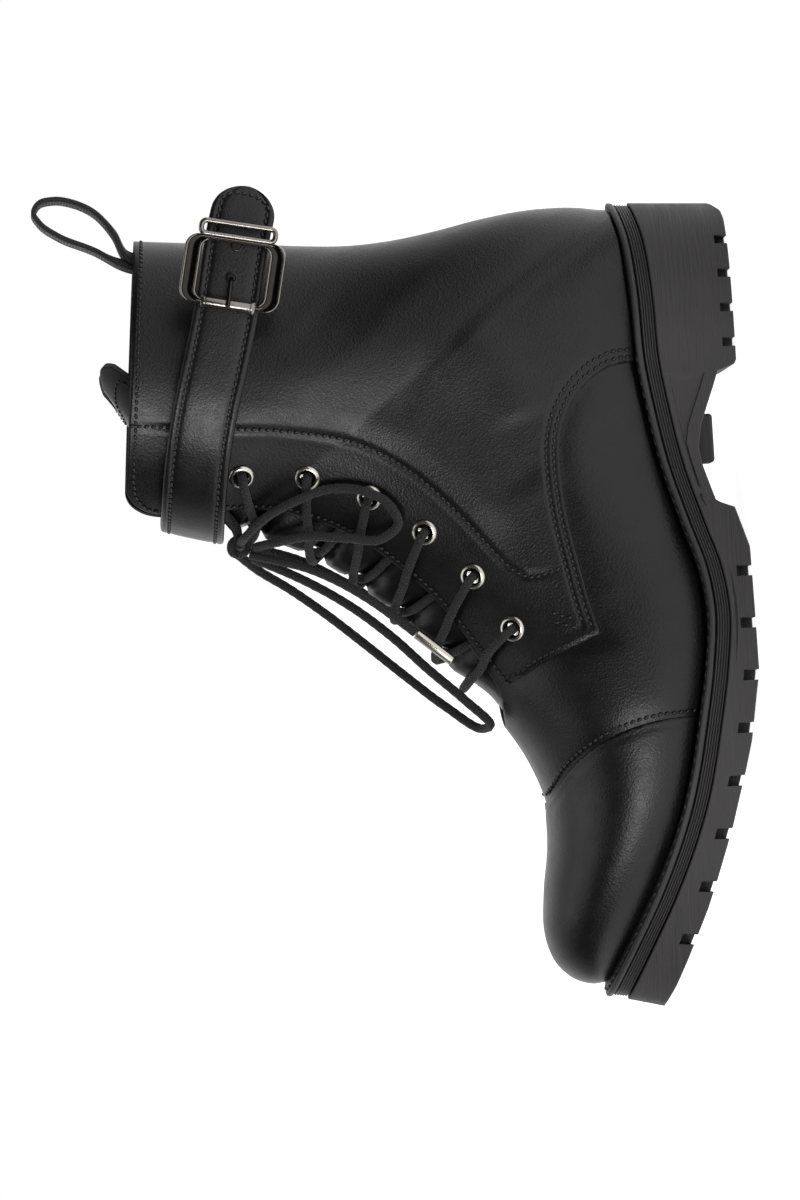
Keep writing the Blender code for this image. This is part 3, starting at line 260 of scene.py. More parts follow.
def through(points: Route, count: int) -> np.ndarray:
    """Evenly spaced points on a smooth curve through a short route.

    Args:
        points: the route's points.
        count: how many points to give back.

    Returns:
        The curve's points, one a row.
    """
    points = np.array(points, float)
    knots = run_of(points)
    fine = spline(knots, points, np.linspace(0, knots[-1], 40 * len(points)))
    return evenly(fine, count)


def read_rows(stops: np.ndarray, run: np.ndarray, rows: np.ndarray) -> np.ndarray:
    """Rows between the given ones, read at some stops along their run."""
    return np.stack([np.interp(stops, run, rows[:, k]) for k in range(rows.shape[1])], axis=1)


def evenly(points: np.ndarray, count: int) -> np.ndarray:
    """The same line with its points spaced evenly, count of them."""
    run = run_of(points)
    return read_rows(np.linspace(0, run[-1], count), run, points)


def step_of(share: np.ndarray, count: int) -> np.ndarray:
    """Which of count steps each share from 0 to 1 stands at."""
    return np.rint(share * count).astype(int)


def smooth(value: np.ndarray) -> np.ndarray:
    """Soft step from 0 to 1 as value goes from 0 to 1."""
    value = np.clip(value, 0.0, 1.0)
    return value * value * (3 - 2 * value)


def height_at(table: Route, forward: np.ndarray) -> np.ndarray:
    """Height of a side-view line at some forward values."""
    rows = np.array(table, float)
    return spline(rows[:, 0], rows[:, 1], forward)[:, 0]


def sole_lean(forward: np.ndarray) -> np.ndarray:
    """How far forward the sole's wall moves between the tread and the welt."""
    toe = np.maximum(0, (forward - TOE_LEAN_FROM) / TOE_LEAN_RUN)
    return TOE_LEAN * toe ** 2 + HEEL_LEAN * np.maximum(0, 1 - forward / HEEL_LEAN_RUN) ** 2


def to_world(points: np.ndarray) -> np.ndarray:
    """Boot points in millimetres as scene points in metres, one a row."""
    points = np.atleast_2d(points)
    return np.column_stack([points[:, 1] - SIDE_MIDDLE, FORWARD_MIDDLE - points[:, 0], points[:, 2]]) * MM


def unit(rows: np.ndarray) -> np.ndarray:
    """Rows scaled to length 1."""
    return rows / np.maximum(np.linalg.norm(rows, axis=-1, keepdims=True), 1e-9)


# ---- The last ----------------------------------------------------------------------------
class Last:
    """Surface that the upper is shaped over, by sections from the toe to the collar."""

    def __init__(self) -> None:
        """Reads the section rows, puts the feather line's height in and spaces the eyelets."""
        rows = np.array(FOOT_ROWS + SHAFT_ROWS, float)
        feet = len(FOOT_ROWS)
        rows[:feet, 3] = height_at(FEATHER, rows[:feet, 2]) + 2 * GAP
        self.rows = rows
        self.feet = feet
        self.end = float(len(rows) - 1)
        self.fine = np.linspace(0, self.end, 1800)
        self.eyelets = self.eyelet_places()

    def cut(self, places: np.ndarray, lateral: np.ndarray) -> dict[str, np.ndarray]:
        """Sizes of the sections at some places.

        Args:
            places: places along the rows.
            lateral: true where the outer side is meant.

        Returns:
            Named arrays. near is the ridge point, along the direction from it to the far end, and length the
            distance between them. mid is the side of the middle line and half the half width. upper and lower
            are the lengths before and after the widest point, and power is the roundness. last is the angle at
            the far end, and edge the share of it at the facing's edge.
        """
        rows = spline(np.arange(len(self.rows)), self.rows, places)
        near, far = rows[:, 0:2], rows[:, 2:4]
        length = np.linalg.norm(far - near, axis=1)
        half = np.where(lateral, rows[:, 5], rows[:, 6])
        foot = np.where(lateral, rows[:, 7], rows[:, 8])
        foot = np.where(np.asarray(places) >= self.feet, 0.0, np.maximum(foot, 0.0))
        power = rows[:, 10] / 2
        ending = np.minimum(foot / half, 0.999) ** power
        last_angle = math.pi - np.arcsin(ending)
        table = np.array(THROAT_GAP)
        gap = np.minimum(np.interp(places, table[:, 0], table[:, 1]), 0.6 * half)
        upper = rows[:, 9] * length
        return {"near": near, "along": (far - near) / length[:, None], "length": length, "mid": rows[:, 4],
                "half": half, "upper": upper, "lower": (length - upper) / np.sqrt(1 - ending**2),
                "power": power, "last": last_angle, "edge": np.arcsin((gap / half) ** power) / last_angle}

    def points(self, places: np.ndarray, reaches: np.ndarray) -> np.ndarray:
        """Points of the last at some spots."""
        places = np.clip(places, 0.0, self.end)
        side = np.where(reaches < 0, -1.0, 1.0)
        share = np.minimum(np.abs(reaches), 1.0)
        cut = self.cut(places, side > 0)
        edge = cut["edge"]
        angle = cut["last"] * np.where(share < EDGE_REACH, edge * share / EDGE_REACH,
                                       edge + (1 - edge) * (share - EDGE_REACH) / (1 - EDGE_REACH))
        radius = np.where(angle < math.pi / 2, cut["upper"], cut["lower"])
        spot = cut["near"] + cut["along"] * (cut["upper"] - radius * np.cos(angle))[:, None]
        across = cut["half"] * np.maximum(0.0, np.sin(angle)) ** (1 / cut["power"])
        return np.column_stack([spot[:, 0], cut["mid"] + side * across, spot[:, 1]])

    def normals(self, places: np.ndarray, reaches: np.ndarray) -> np.ndarray:
        """Outward unit normals at some spots."""
        side = np.where(reaches < 0, -1.0, 1.0)
        share = np.clip(np.abs(reaches), 0.0, 1.0)
        low, high = np.maximum(share - 0.01, 0.0), np.minimum(share + 0.01, 1.0)
        back, ahead = np.maximum(places - 0.05, 0.0), np.minimum(places + 0.05, self.end)
        off_ridge = side * np.maximum(share, 1e-6)
        across = self.points(places, side * high) - self.points(places, np.where(low > 0, side * low, side * 1e-6))
        along = self.points(ahead, off_ridge) - self.points(back, off_ridge)
        return unit(np.cross(across, along) * side[:, None])

    def lifted(self, places: np.ndarray, reaches: np.ndarray, lift: np.ndarray | float) -> np.ndarray:
        """Points at a height over the last."""
        places, reaches = np.atleast_1d(places).astype(float), np.atleast_1d(reaches).astype(float)
        places, reaches = np.broadcast_arrays(places, reaches)
        return self.points(places, reaches) + self.normals(places, reaches) * np.reshape(lift, (-1, 1))

    def behind(self, place: float, side: int, distance: float) -> float:
        """Reach of the point that lies some distance behind a facing's edge."""
        shares = np.linspace(EDGE_REACH, 0.7, 60)
        run = run_of(self.points(np.full(len(shares), place), side * shares))
        return side * float(np.interp(distance, run, shares))

    def eyelet_spot(self, place: float, side: int) -> tuple[np.ndarray, np.ndarray]:
        """Place and reach of an eyelet's middle, each as an array of one."""
        return np.array([place]), np.array([self.behind(place, side, EYELET_SETBACK)])

    def eyelet_middle(self, place: float, side: int) -> np.ndarray:
        """Boot point of an eyelet's middle."""
        return self.points(*self.eyelet_spot(place, side))[0]

    def eyelet_places(self) -> list[float]:
        """Places of the eyelets, spaced evenly along the facing."""
        fine = np.linspace(THROAT_ROW, self.end, 220)
        line = np.array([self.eyelet_middle(place, 1) for place in fine])
        wanted = [EYELET_FIRST + k * EYELET_PITCH for k in range(EYELETS)]
        return list(np.interp(wanted, run_of(line), fine))

    def find(self, route: Route, side: int) -> np.ndarray:
        """Spots whose side-view position is the wanted one.

        Args:
            route: (forward, height) rows.
            side: 1 on the outer side, -1 on the inner side.

        Returns:
            Rows of (place, reach).
        """
        cut = self.cut(self.fine, np.full(len(self.fine), side > 0))
        found = []
        for wanted in np.array(route, float):
            away = wanted - cut["near"]
            turn = cut["along"][:, 0] * away[:, 1] - cut["along"][:, 1] * away[:, 0]
            run = np.einsum("ij,ij->i", cut["along"], away)
            off = np.where((run > -3) & (run < cut["length"] + 3), np.abs(turn), 1e3)
            k = int(np.argmin(off))
            upper, lower = cut["upper"][k], cut["lower"][k]
            radius = upper if run[k] < upper else lower
            angle = math.acos(float(np.clip((upper - run[k]) / radius, -1, 1))) / cut["last"][k]
            edge = cut["edge"][k]
            if angle < edge:
                share = EDGE_REACH * angle / edge
            else:
                share = EDGE_REACH + (1 - EDGE_REACH) * (angle - edge) / (1 - edge)
            found.append((self.fine[k], side * min(share, 1.0)))
        return np.array(found)

    def pattern(self, places: tuple[float, float], reaches: tuple[float, float], cell: float) -> bmesh.types.BMesh:
        """A flat grid of spots whose cells are about one size once they lie on the last.

        Args:
            places: first and last place.
            reaches: first and last reach.
            cell: a cell's size.

        Returns:
            The flat grid, with (place, reach) in its corners.
        """
        fine = np.linspace(*places, 500)
        run = run_of(self.points(fine, np.full(len(fine), 0.5)))
        shares = np.linspace(*reaches, 240)
        widest = run_of(self.points(np.full(len(shares), np.mean(places)), shares))[-1]
        rows, columns = max(2, math.ceil(run[-1] / cell)), max(2, math.ceil(widest / cell))
        stops = np.interp(np.linspace(0, run[-1], rows + 1), run, fine)
        across = []
        for place in stops:
            girth = run_of(self.points(np.full(len(shares), place), shares))
            across.append(np.interp(np.linspace(0, girth[-1], columns + 1), girth, shares))
        across = np.array(across)
        flat = bmesh.new()
        bmesh.ops.create_grid(flat, x_segments=rows, y_segments=columns, size=0.5)
        for corner in flat.verts:
            row, column = round((corner.co.x + 0.5) * rows), round((corner.co.y + 0.5) * columns)
            corner.co = (stops[row], across[row, column], 0)
        return flat


# ---- Meshes ------------------------------------------------------------------------------
def bent_grid(cells: tuple[int, int], bend: Callable[[np.ndarray, np.ndarray], np.ndarray],
              size: tuple[float, float] = (1.0, 1.0)) -> bmesh.types.BMesh:
    """A flat grid bent into shape, with its seams merged.

    Args:
        cells: counts of cells along u and v.
        bend: gives boot points for arrays of u and v, both from 0 to 1.
        size: length and width of the grid's own map, in millimetres.

    Returns:
        The bent mesh, in metres.
    """
    shape = bmesh.new()
    bmesh.ops.create_grid(shape, x_segments=cells[0], y_segments=cells[1], size=0.5)
    flat = np.array([corner.co[:2] for corner in shape.verts]) + 0.5
    chart = shape.loops.layers.uv.new("UVMap")
    for face in shape.faces:
        for corner in face.loops:
            u, v = flat[corner.vert.index]
            corner[chart].uv = (u * size[0], v * size[1])
    for corner, point in zip(shape.verts, to_world(bend(flat[:, 0], flat[:, 1]))):
        corner.co = point
    bmesh.ops.remove_doubles(shape, verts=shape.verts, dist=0.004 * MM)
    return shape


def lattice(points: np.ndarray, size: tuple[float, float] = (1.0, 1.0)) -> bmesh.types.BMesh:
    """A flat grid bent so that its corners lie at rows and columns of boot points.

    Args:
        points: the points, whose first and last rows or columns are merged where they meet.
        size: length and width of the grid's own map, in millimetres.

    Returns:
        The bent mesh, in metres.
    """
    rows, columns = points.shape[0] - 1, points.shape[1] - 1
    return bent_grid((rows, columns), lambda u, v: points[step_of(u, rows), step_of(v, columns)], size)


def close_holes(shape: bmesh.types.BMesh) -> None:
    """Closes every open end of a mesh."""
    bmesh.ops.holes_fill(shape, edges=[edge for edge in shape.edges if edge.is_boundary])


def join_shapes(parts: Sequence[bmesh.types.BMesh]) -> bmesh.types.BMesh:
    """One mesh out of several, which are used up."""
    whole = parts[0]
    for part in parts[1:]:
        mesh = bpy.data.meshes.new("part")
        part.to_mesh(mesh)
        part.free()
        whole.from_mesh(mesh)
        bpy.data.meshes.remove(mesh)
    return whole


def spun(profile: Route, steps: int, closed: bool = True) -> bmesh.types.BMesh:
    """A ring turned round the Z axis from a profile of (radius, rise)."""
    shape = bmesh.new()
    corners = [shape.verts.new((radius * MM, 0, rise * MM)) for radius, rise in profile]
    edges = [shape.edges.new(pair) for pair in zip(corners, corners[1:] + corners[:1 if closed else 0])]
    bmesh.ops.spin(shape, geom=corners + edges, cent=(0, 0, 0), axis=(0, 0, 1), angle=math.tau, steps=steps,
                   use_merge=True)
    return shape


def stand(shape: bmesh.types.BMesh, middle: np.ndarray, normal: np.ndarray) -> bmesh.types.BMesh:
    """Moves a shape made round the Z axis to a boot point, with Z along a normal."""
    middle, normal = np.array(middle, float), np.array(normal, float)
    tip = Vector(to_world(middle + normal)[0] - to_world(middle)[0])
    turn = tip.to_track_quat("Z", "Y").to_matrix().to_4x4()
    turn.translation = to_world(middle)[0]
    bmesh.ops.transform(shape, matrix=turn, verts=shape.verts)
    return shape


def block(low: Sequence[float], high: Sequence[float], round_edge: float) -> bmesh.types.BMesh:
    """A box between two corner points of the boot, with rounded edges."""
    shape = bmesh.new()
    low, high = np.array(low), np.array(high)
    for corner in bmesh.ops.create_cube(shape, size=1.0)["verts"]:
        corner.co = to_world(low + (np.array(corner.co) + 0.5) * (high - low))[0]
    bmesh.ops.bevel(shape, geom=shape.edges[:], offset=round_edge * MM, segments=3, profile=0.5, affect="EDGES",
                    material=-1)
    return shape


def add_piece(name: str, shape: bmesh.types.BMesh, finishes: Sequence[bpy.types.Material],
              replaces: Sequence[str] = (), body: str = "boot", sharp: float = 40.0) -> bpy.types.Object:
    """Makes a piece of a finished mesh and hides the solids that it stands for.

    Args:
        name: the piece's name.
        shape: its mesh, which is used up.
        finishes: its materials, the main one first.
        replaces: solids that it stands for.
        body: the body that it moves with.
        sharp: angle in degrees past which an edge stays crisp.

    Returns:
        The new object.
    """
    mesh = bpy.data.meshes.new(name)
    bmesh.ops.recalc_face_normals(shape, faces=shape.faces)
    shape.to_mesh(mesh)
    shape.free()
    for finish in finishes:
        mesh.materials.append(finish)
    mesh.shade_smooth()
    mesh.set_sharp_from_angle(angle=math.radians(sharp))
    piece = bpy.data.objects.new(name, mesh)
    bpy.context.scene.collection.objects.link(piece)
    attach(piece, body)
    if replaces:
        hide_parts(*replaces)
    LOG.info("%s: %d faces", name, len(mesh.polygons))
    return piece


def softened(name: str, node: bpy.types.Object, finish: bpy.types.Material, width: float,
             body: str = "boot") -> bpy.types.Object:
    """A copy of a solid with its edges rounded.

    Args:
        name: the piece's name.
        node: the solid that it stands for.
        finish: its material.
        width: how far the rounding runs from an edge, in millimetres.
        body: the body that it moves with.

    Returns:
        The new piece.
    """
    shape = bmesh.new()
    shape.from_mesh(node.data)
    bmesh.ops.transform(shape, matrix=node.matrix_world, verts=shape.verts)
    bmesh.ops.remove_doubles(shape, verts=shape.verts, dist=0.01 * MM)
    bmesh.ops.dissolve_limit(shape, angle_limit=math.radians(4), verts=shape.verts, edges=shape.edges)
    corners = [edge for edge in shape.edges if edge.is_manifold and edge.calc_face_angle() > math.radians(28)]
    bmesh.ops.bevel(shape, geom=corners, offset=width * MM, segments=2, profile=0.5, affect="EDGES", material=-1,
                    clamp_overlap=True)
    return add_piece(name, shape, [finish], [node.name], body)


def thicken(piece: bpy.types.Object, thick: float, edge_finish: int = 1, round_edge: float = 0.0) -> None:
    """Gives an open sheet its thickness inwards, with a cut edge of its own finish.

    Args:
        piece: the sheet, whose faces point outwards.
        thick: its thickness.
        edge_finish: how far down its list of materials the cut edge's finish is.
        round_edge: radius of the cut edge.
    """
    wall = piece.modifiers.new("leather_thickness", "SOLIDIFY")
    wall.thickness = thick * MM
    wall.offset = -1
    wall.material_offset_rim = edge_finish
    if round_edge:
        edge = piece.modifiers.new("cut_edge", "BEVEL")
        edge.width = round_edge * MM
        edge.segments = 2
        edge.limit_method = "ANGLE"
        edge.angle_limit = math.radians(50)


def frames(route: np.ndarray) -> tuple[np.ndarray, np.ndarray, np.ndarray]:
    """Directions along a line: ahead, and two across it that turn as little as they can."""
    ahead = unit(np.gradient(route, axis=0))
    start = np.array([0.0, 0.0, 1.0]) if abs(ahead[0][2]) < 0.8 else np.array([1.0, 0.0, 0.0])
    first = [unit(start - ahead[0] * (start @ ahead[0]))]
    for direction in ahead[1:]:
        kept = first[-1] - direction * (first[-1] @ direction)
        first.append(unit(kept))
    first = np.array(first)
    return ahead, first, np.cross(ahead, first)


# ---- Finishes ----------------------------------------------------------------------------
class Grain(Enum):
    """Surface patterns that a finish can have."""

    PORES = "fine leather grain"
    STRIAE = "lines brushed along the sole"
    SPECKLE = "rough speckled rubber"
    WEAVE = "flat woven ribs"
    BRAID = "round braid"
    PLUSH = "short pile"
    BRUSH = "fine metal polish"


def colour(code: str) -> tuple[float, float, float, float]:
    """An sRGB hex colour as linear values."""
    parts = [int(code[k:k + 2], 16) / 255 for k in (1, 3, 5)]
    linear = [part / 12.92 if part <= 0.04045 else ((part + 0.055) / 1.055) ** 2.4 for part in parts]
    return (*linear, 1.0)


def add_node(tree: bpy.types.NodeTree, kind: str, values: dict | None = None, links: dict | None = None,
             **settings: object) -> bpy.types.Node:
    """Adds a node with its settings, its sockets' values and its links.

    Args:
        tree: the material's nodes.
        kind: the node's type.
        values: socket to value.
        links: socket to the output that feeds it.
        settings: the node's own settings.

    Returns:
        The new node.
    """
    node = tree.nodes.new(kind)
    for name, value in settings.items():
        setattr(node, name, value)
    for socket, value in (values or {}).items():
        node.inputs[socket].default_value = value
    for socket, source in (links or {}).items():
        tree.links.new(source, node.inputs[socket])
    return node


@dataclass(frozen=True)
class Finish:
    """A material as it is made, with its colours, gloss and grain.

    A pattern's size is in millimetres: how far apart its marks are, and how deep they go.
    """

    name: str
    base: str
    tone: str
    roughness: float
    grain: Grain
    grain_size: float
    grain_depth: float
    polish: float = 0.08
    mottle: float = 14.0
    metallic: float = 0.0
    sheen: float = 0.0
    specular: float = 0.5

    def build(self) -> bpy.types.Material:
        """Builds the material from this finish."""
        made = bpy.data.materials.new(self.name)
        made.use_nodes = True
        tree = made.node_tree
        shader = tree.nodes["Principled BSDF"]
        place = add_node(tree, "ShaderNodeTexCoord")
        where = place.outputs["Object"]
        if self.grain is Grain.STRIAE:
            stretched = add_node(tree, "ShaderNodeMapping", {"Scale": (0.1, 0.07, 1.0)}, {"Vector": where})
            where = stretched.outputs["Vector"]
        clouds = add_node(tree, "ShaderNodeTexNoise", {"Scale": 1000 / self.mottle, "Detail": 6.0, "Roughness": 0.7},
                          {"Vector": where}).outputs["Fac"]
        tint = add_node(tree, "ShaderNodeMix", {"A": colour(self.base), "B": colour(self.tone)}, {"Factor": clouds},
                        data_type="RGBA")
        gloss = add_node(tree, "ShaderNodeMapRange", {"From Min": 0.25, "From Max": 0.75,
                         "To Min": self.roughness - self.polish, "To Max": self.roughness + self.polish},
                         {"Value": clouds})
        bump = add_node(tree, "ShaderNodeBump", {"Strength": 1.0, "Distance": self.grain_depth * MM},
                        {"Height": self.marks(tree, place)})
        for socket, source in (("Base Color", tint.outputs["Result"]), ("Roughness", gloss.outputs["Result"]),
                               ("Normal", bump.outputs["Normal"])):
            tree.links.new(source, shader.inputs[socket])
        for socket, value in (("Metallic", self.metallic), ("Sheen Weight", self.sheen),
                              ("Specular IOR Level", self.specular)):
            shader.inputs[socket].default_value = value
        return made

    def marks(self, tree: bpy.types.NodeTree, place: bpy.types.Node) -> bpy.types.NodeSocket:
        """Height pattern of the grain, from 0 to 1."""
        fine = 1000 / self.grain_size
        where = place.outputs["Object"]
        if self.grain in (Grain.WEAVE, Grain.BRAID):
            where = place.outputs["UV"]
            turns = (math.radians(45), math.radians(-45)) if self.grain is Grain.BRAID else (0.0, math.pi / 2)
            waves = []
            for turn in turns:
                laid = add_node(tree, "ShaderNodeMapping", {"Rotation": (0, 0, turn)}, {"Vector": where})
                waves.append(add_node(tree, "ShaderNodeTexWave", {"Scale": 0.314 / self.grain_size, "Distortion": 0.4},
                                      {"Vector": laid.outputs["Vector"]}).outputs["Fac"])
            return add_node(tree, "ShaderNodeMath", links={0: waves[0], 1: waves[1]},
                            operation="MULTIPLY").outputs["Value"]
        if self.grain is Grain.STRIAE:
            long = add_node(tree, "ShaderNodeMapping", {"Scale": (0.05, 0.05, 1.0)}, {"Vector": where})
            return add_node(tree, "ShaderNodeTexNoise", {"Scale": fine, "Detail": 5.0, "Roughness": 0.65},
                            {"Vector": long.outputs["Vector"]}).outputs["Fac"]
        if self.grain is Grain.PORES:
            cells = add_node(tree, "ShaderNodeTexVoronoi", {"Scale": fine, "Randomness": 1.0}, {"Vector": where},
                             feature="SMOOTH_F1").outputs["Distance"]
            ripple = add_node(tree, "ShaderNodeTexNoise", {"Scale": fine * 0.6, "Detail": 6.0, "Roughness": 0.7},
                              {"Vector": where}).outputs["Fac"]
            return add_node(tree, "ShaderNodeMath", links={0: cells, 1: ripple}, operation="MULTIPLY").outputs["Value"]
        return add_node(tree, "ShaderNodeTexNoise", {"Scale": fine, "Detail": 7.0, "Roughness": 0.75},
                        {"Vector": where}).outputs["Fac"]


class Materials:
    """Every finish of the boot, built once."""

    def __init__(self) -> None:
        """Builds the materials."""
        # Smooth full-grain leather, dyed and waxed: near black, soft wide highlights, hair-fine pores.
        self.leather = Finish("waxed_full_grain_leather", "#0b0909", "#060505", 0.36, Grain.PORES, 0.7, 0.12,
                              polish=0.07, mottle=9.0, specular=0.38).build()
        # The raw cut edge of the leather, dyed once: greyer and fibrous.
        self.cut_edge = Finish("dyed_leather_cut_edge", "#4a4748", "#353234", 0.75, Grain.SPECKLE, 0.3, 0.08).build()
        # Brushed plush lining: swallows light, short pile.
        self.plush = Finish("brushed_plush_lining", "#0f0e0f", "#191819", 0.95, Grain.PLUSH, 0.5, 0.35,
                            polish=0.03, sheen=0.25).build()
        # Waxed polyester sewing thread: black with small glints.
        self.thread = Finish("waxed_sewing_thread", "#070707", "#131213", 0.45, Grain.SPECKLE, 0.25, 0.05).build()
        # Moulded and buffed sole rubber: dark grey, dull, with fine lines from the buffing wheel.
        self.outsole = Finish("buffed_sole_rubber", "#141214", "#3a3739", 0.6, Grain.STRIAE, 0.9, 0.22,
                              polish=0.12, mottle=3.2).build()
        # Ribbed rubber band, trimmed rough: dark with many small glints. The welt above it is moulded, so smoother,
        # and the insole board is covered in dull pressed fabric.
        self.midsole = Finish("trimmed_rubber_band", "#1c1a1b", "#262425", 0.5, Grain.SPECKLE, 0.55, 0.16).build()
        self.welt = Finish("moulded_rubber_welt", "#1a191a", "#232122", 0.52, Grain.SPECKLE, 0.7, 0.09).build()
        self.board = Finish("fabric_insole", "#141314", "#1d1c1d", 0.92, Grain.PLUSH, 0.7, 0.15, sheen=0.2).build()
        # Woven polyester tape: deep black, ribbed along its length.
        self.webbing = Finish("woven_polyester_tape", "#111013", "#1a191c", 0.8, Grain.WEAVE, 1.1, 0.3,
                              polish=0.04, sheen=0.15).build()
        # Braided round lace, spun cotton and polyester.
        self.lace = Finish("braided_cotton_lace", "#0a090a", "#141315", 0.75, Grain.BRAID, 1.0, 0.32,
                           polish=0.05, sheen=0.06).build()
        # Gunmetal plating on zinc, polished: dark mirror with soft edges.
        self.gunmetal = Finish("polished_gunmetal_plating", "#3a3836", "#2c2a28", 0.13, Grain.BRUSH, 0.5, 0.006,
                               polish=0.04, metallic=1.0).build()
        # The roller takes a lighter metal than the frame. The same finish is laid on the frame's outermost crest as a
        # painted highlight along its rims.
        self.roller = Finish("roller_plating_and_painted_rim_highlight", "#8f8b86", "#6f6b67", 0.2, Grain.BRUSH, 0.5, 0.006, polish=0.04,
                             metallic=1.0).build()
        # Antique nickel on brass: warmer and lighter.
        self.nickel = Finish("antique_nickel_plating", "#d2cec6", "#aaa69f", 0.25, Grain.BRUSH, 0.5, 0.01,
                             polish=0.06, metallic=1.0).build()


# ---- Side-view lines ---------------------------------------------------------------------
def line_distance(points: np.ndarray, route: np.ndarray) -> tuple[np.ndarray, np.ndarray]:
    """Distance from points to a line, and how far along the line the nearest point is, 0 to 1."""
    start, end = route[:-1], route[1:]
    span = end - start
    away = points[:, None, :] - start[None]
    share = np.clip(np.einsum("nij,ij->ni", away, span) / np.maximum((span**2).sum(1), 1e-9), 0, 1)
    off = np.linalg.norm(away - share[..., None] * span[None], axis=2)
    best = off.argmin(axis=1)
    run = run_of(route)
    rows = np.arange(len(points))
    along = run[best] + share[rows, best] * (run[best + 1] - run[best])
    return off[rows, best], along / run[-1]


@dataclass(frozen=True)
class Outline:
    """Closed line in the side view."""

    spots: np.ndarray

    def inside(self, points: np.ndarray) -> np.ndarray:
        """Distance to the line, plus inside and minus outside, for (forward, height) rows."""
        ring = np.vstack([self.spots, self.spots[:1]])
        off, _ = line_distance(points, ring)
        low, high = ring[:-1], ring[1:]
        f, h = points[:, :1], points[:, 1:]
        crosses = (low[:, 1] > h) != (high[:, 1] > h)
        slope = (high[:, 0] - low[:, 0]) / np.where(high[:, 1] == low[:, 1], 1e-9, high[:, 1] - low[:, 1])
        within = (crosses & (f < low[:, 0] + (h - low[:, 1]) * slope)).sum(axis=1) % 2 == 1
        return np.where(within, off, -off)


@dataclass(frozen=True)
class Fold:
    """Soft trough (minus) or ridge (plus) along a line of the side view."""

    route: tuple[tuple[float, float], ...]
    height: float
    reach: float
    fade: float = 0.15

    def lift(self, points: np.ndarray) -> np.ndarray:
        """How far the fold lifts the surface at some side-view points."""
        off, along = line_distance(points, through(self.route, 24))
        ends = smooth(along / self.fade) * smooth((1 - along) / self.fade)
        return self.height * np.exp(-(off / self.reach) ** 2) * ends


PLACE_LONG = 8.0            # rough length of one place on the last
REACH_LONG = 110.0          # rough length from reach 0 to 1
SNAP = 0.32                 # share of a cell's side within which a corner slides onto a cut


def cut_flat(flat: bmesh.types.BMesh, distance: Callable[[np.ndarray], np.ndarray]) -> None:
    """Cuts a flat pattern along the line where distance is 0, and drops its minus side.

    Args:
        flat: the pattern, with (place, reach) in its corners.
        distance: gives the distance at rows of spots.
    """
    gap = flat.verts.layers.float.new("gap")
    for corner, value in zip(flat.verts, distance(np.array([corner.co[:2] for corner in flat.verts]))):
        corner[gap] = value
    slides: dict[int, tuple[float, bmesh.types.BMVert, Vector]] = {}
    for edge in flat.edges:
        first, last = edge.verts
        if first[gap] * last[gap] < 0:
            share = first[gap] / (first[gap] - last[gap])
            moved, small = (first, share) if share < 0.5 else (last, 1 - share)
            rim = any(link.is_boundary for link in moved.link_edges)
            if small < SNAP and (edge.is_boundary or not rim):
                kept = slides.get(moved.index)
                if kept is None or small < kept[0]:
                    slides[moved.index] = (small, moved, first.co.lerp(last.co, share))
    for _, corner, spot in slides.values():
        corner.co = spot
        corner[gap] = 0.0
    for edge in [edge for edge in flat.edges if edge.verts[0][gap] * edge.verts[1][gap] < 0]:
        first, last = edge.verts
        share = first[gap] / (first[gap] - last[gap])
        spot = first.co.lerp(last.co, share)
        _, corner = bmesh.utils.edge_split(edge, first, share)
        corner.co = spot
        corner[gap] = 0.0
    for face in list(flat.faces):
        signs = [corner[gap] for corner in face.verts]
        if min(signs) < 0 < max(signs):
            on_line = [corner for corner in face.verts if corner[gap] == 0.0]
            if len(on_line) >= 2:
                bmesh.utils.face_split(face, on_line[0], on_line[-1])
    outside = [face for face in flat.faces if sum(corner[gap] for corner in face.verts) < 0]
    bmesh.ops.delete(flat, geom=outside, context="FACES")
    flat.verts.layers.float.remove(gap)


# ---- Stitches ----------------------------------------------------------------------------
@dataclass
class Thread:
    """Stitches of one size, laid one after another along lines."""

    finish: bpy.types.Material
    pitch: float = 2.3
    long: float = 1.9
    wide: float = 0.62
    high: float = 0.42
    turn: float = 0.14
    lift: float = 0.2
    spots: list[Matrix] = field(default_factory=list)

    def sew(self, points: np.ndarray, normals: np.ndarray) -> None:
        """Lays stitches along a line of points.

        Args:
            points: the line on the leather.
            normals: the leather's normals there.
        """
        count = int(run_of(points)[-1] / self.pitch)
        if count < 1:
            return
        line = evenly(np.hstack([points, normals]), 2 * count + 1)
        for k in range(1, 2 * count, 2):
            ahead = unit(line[k + 1, :3] - line[k - 1, :3])
            up = unit(line[k, 3:] - ahead * (line[k, 3:] @ ahead))
            spot = to_world(line[k, :3])[0]
            middle = to_world(line[k, :3] + up * self.lift)[0]
            tip = to_world(line[k, :3] + ahead)[0] - spot
            rise = to_world(line[k, :3] + up)[0] - spot
            across = np.cross(rise, tip) / MM**2
            frame = Matrix((Vector(tip) / MM, Vector(across), Vector(rise) / MM)).transposed().to_4x4()
            frame = frame @ Matrix.Rotation(self.turn, 4, "Z")
            size = Matrix.Diagonal((self.long / 2 * MM, self.wide / 2 * MM, self.high / 2 * MM, 1))
            self.spots.append(Matrix.Translation(middle) @ frame @ size)

    def build(self, name: str, slot: str = "black_leather") -> bpy.types.Object:
        """Makes every stitch laid so far as one piece."""
        one = bmesh.new()
        bmesh.ops.create_uvsphere(one, u_segments=6, v_segments=4, radius=1.0)
        bmesh.ops.rotate(one, verts=one.verts, matrix=Matrix.Rotation(math.pi / 2, 3, "Y"))
        single = bpy.data.meshes.new(name + "_one")
        one.to_mesh(single)
        one.free()
        shape = bmesh.new()
        for spot in self.spots:
            shape.from_mesh(single)
            shape.verts.ensure_lookup_table()
            bmesh.ops.transform(shape, matrix=spot, verts=shape.verts[-len(single.vertices):])
        bpy.data.meshes.remove(single)
        return add_piece(name, shape, [self.finish], sharp=180)


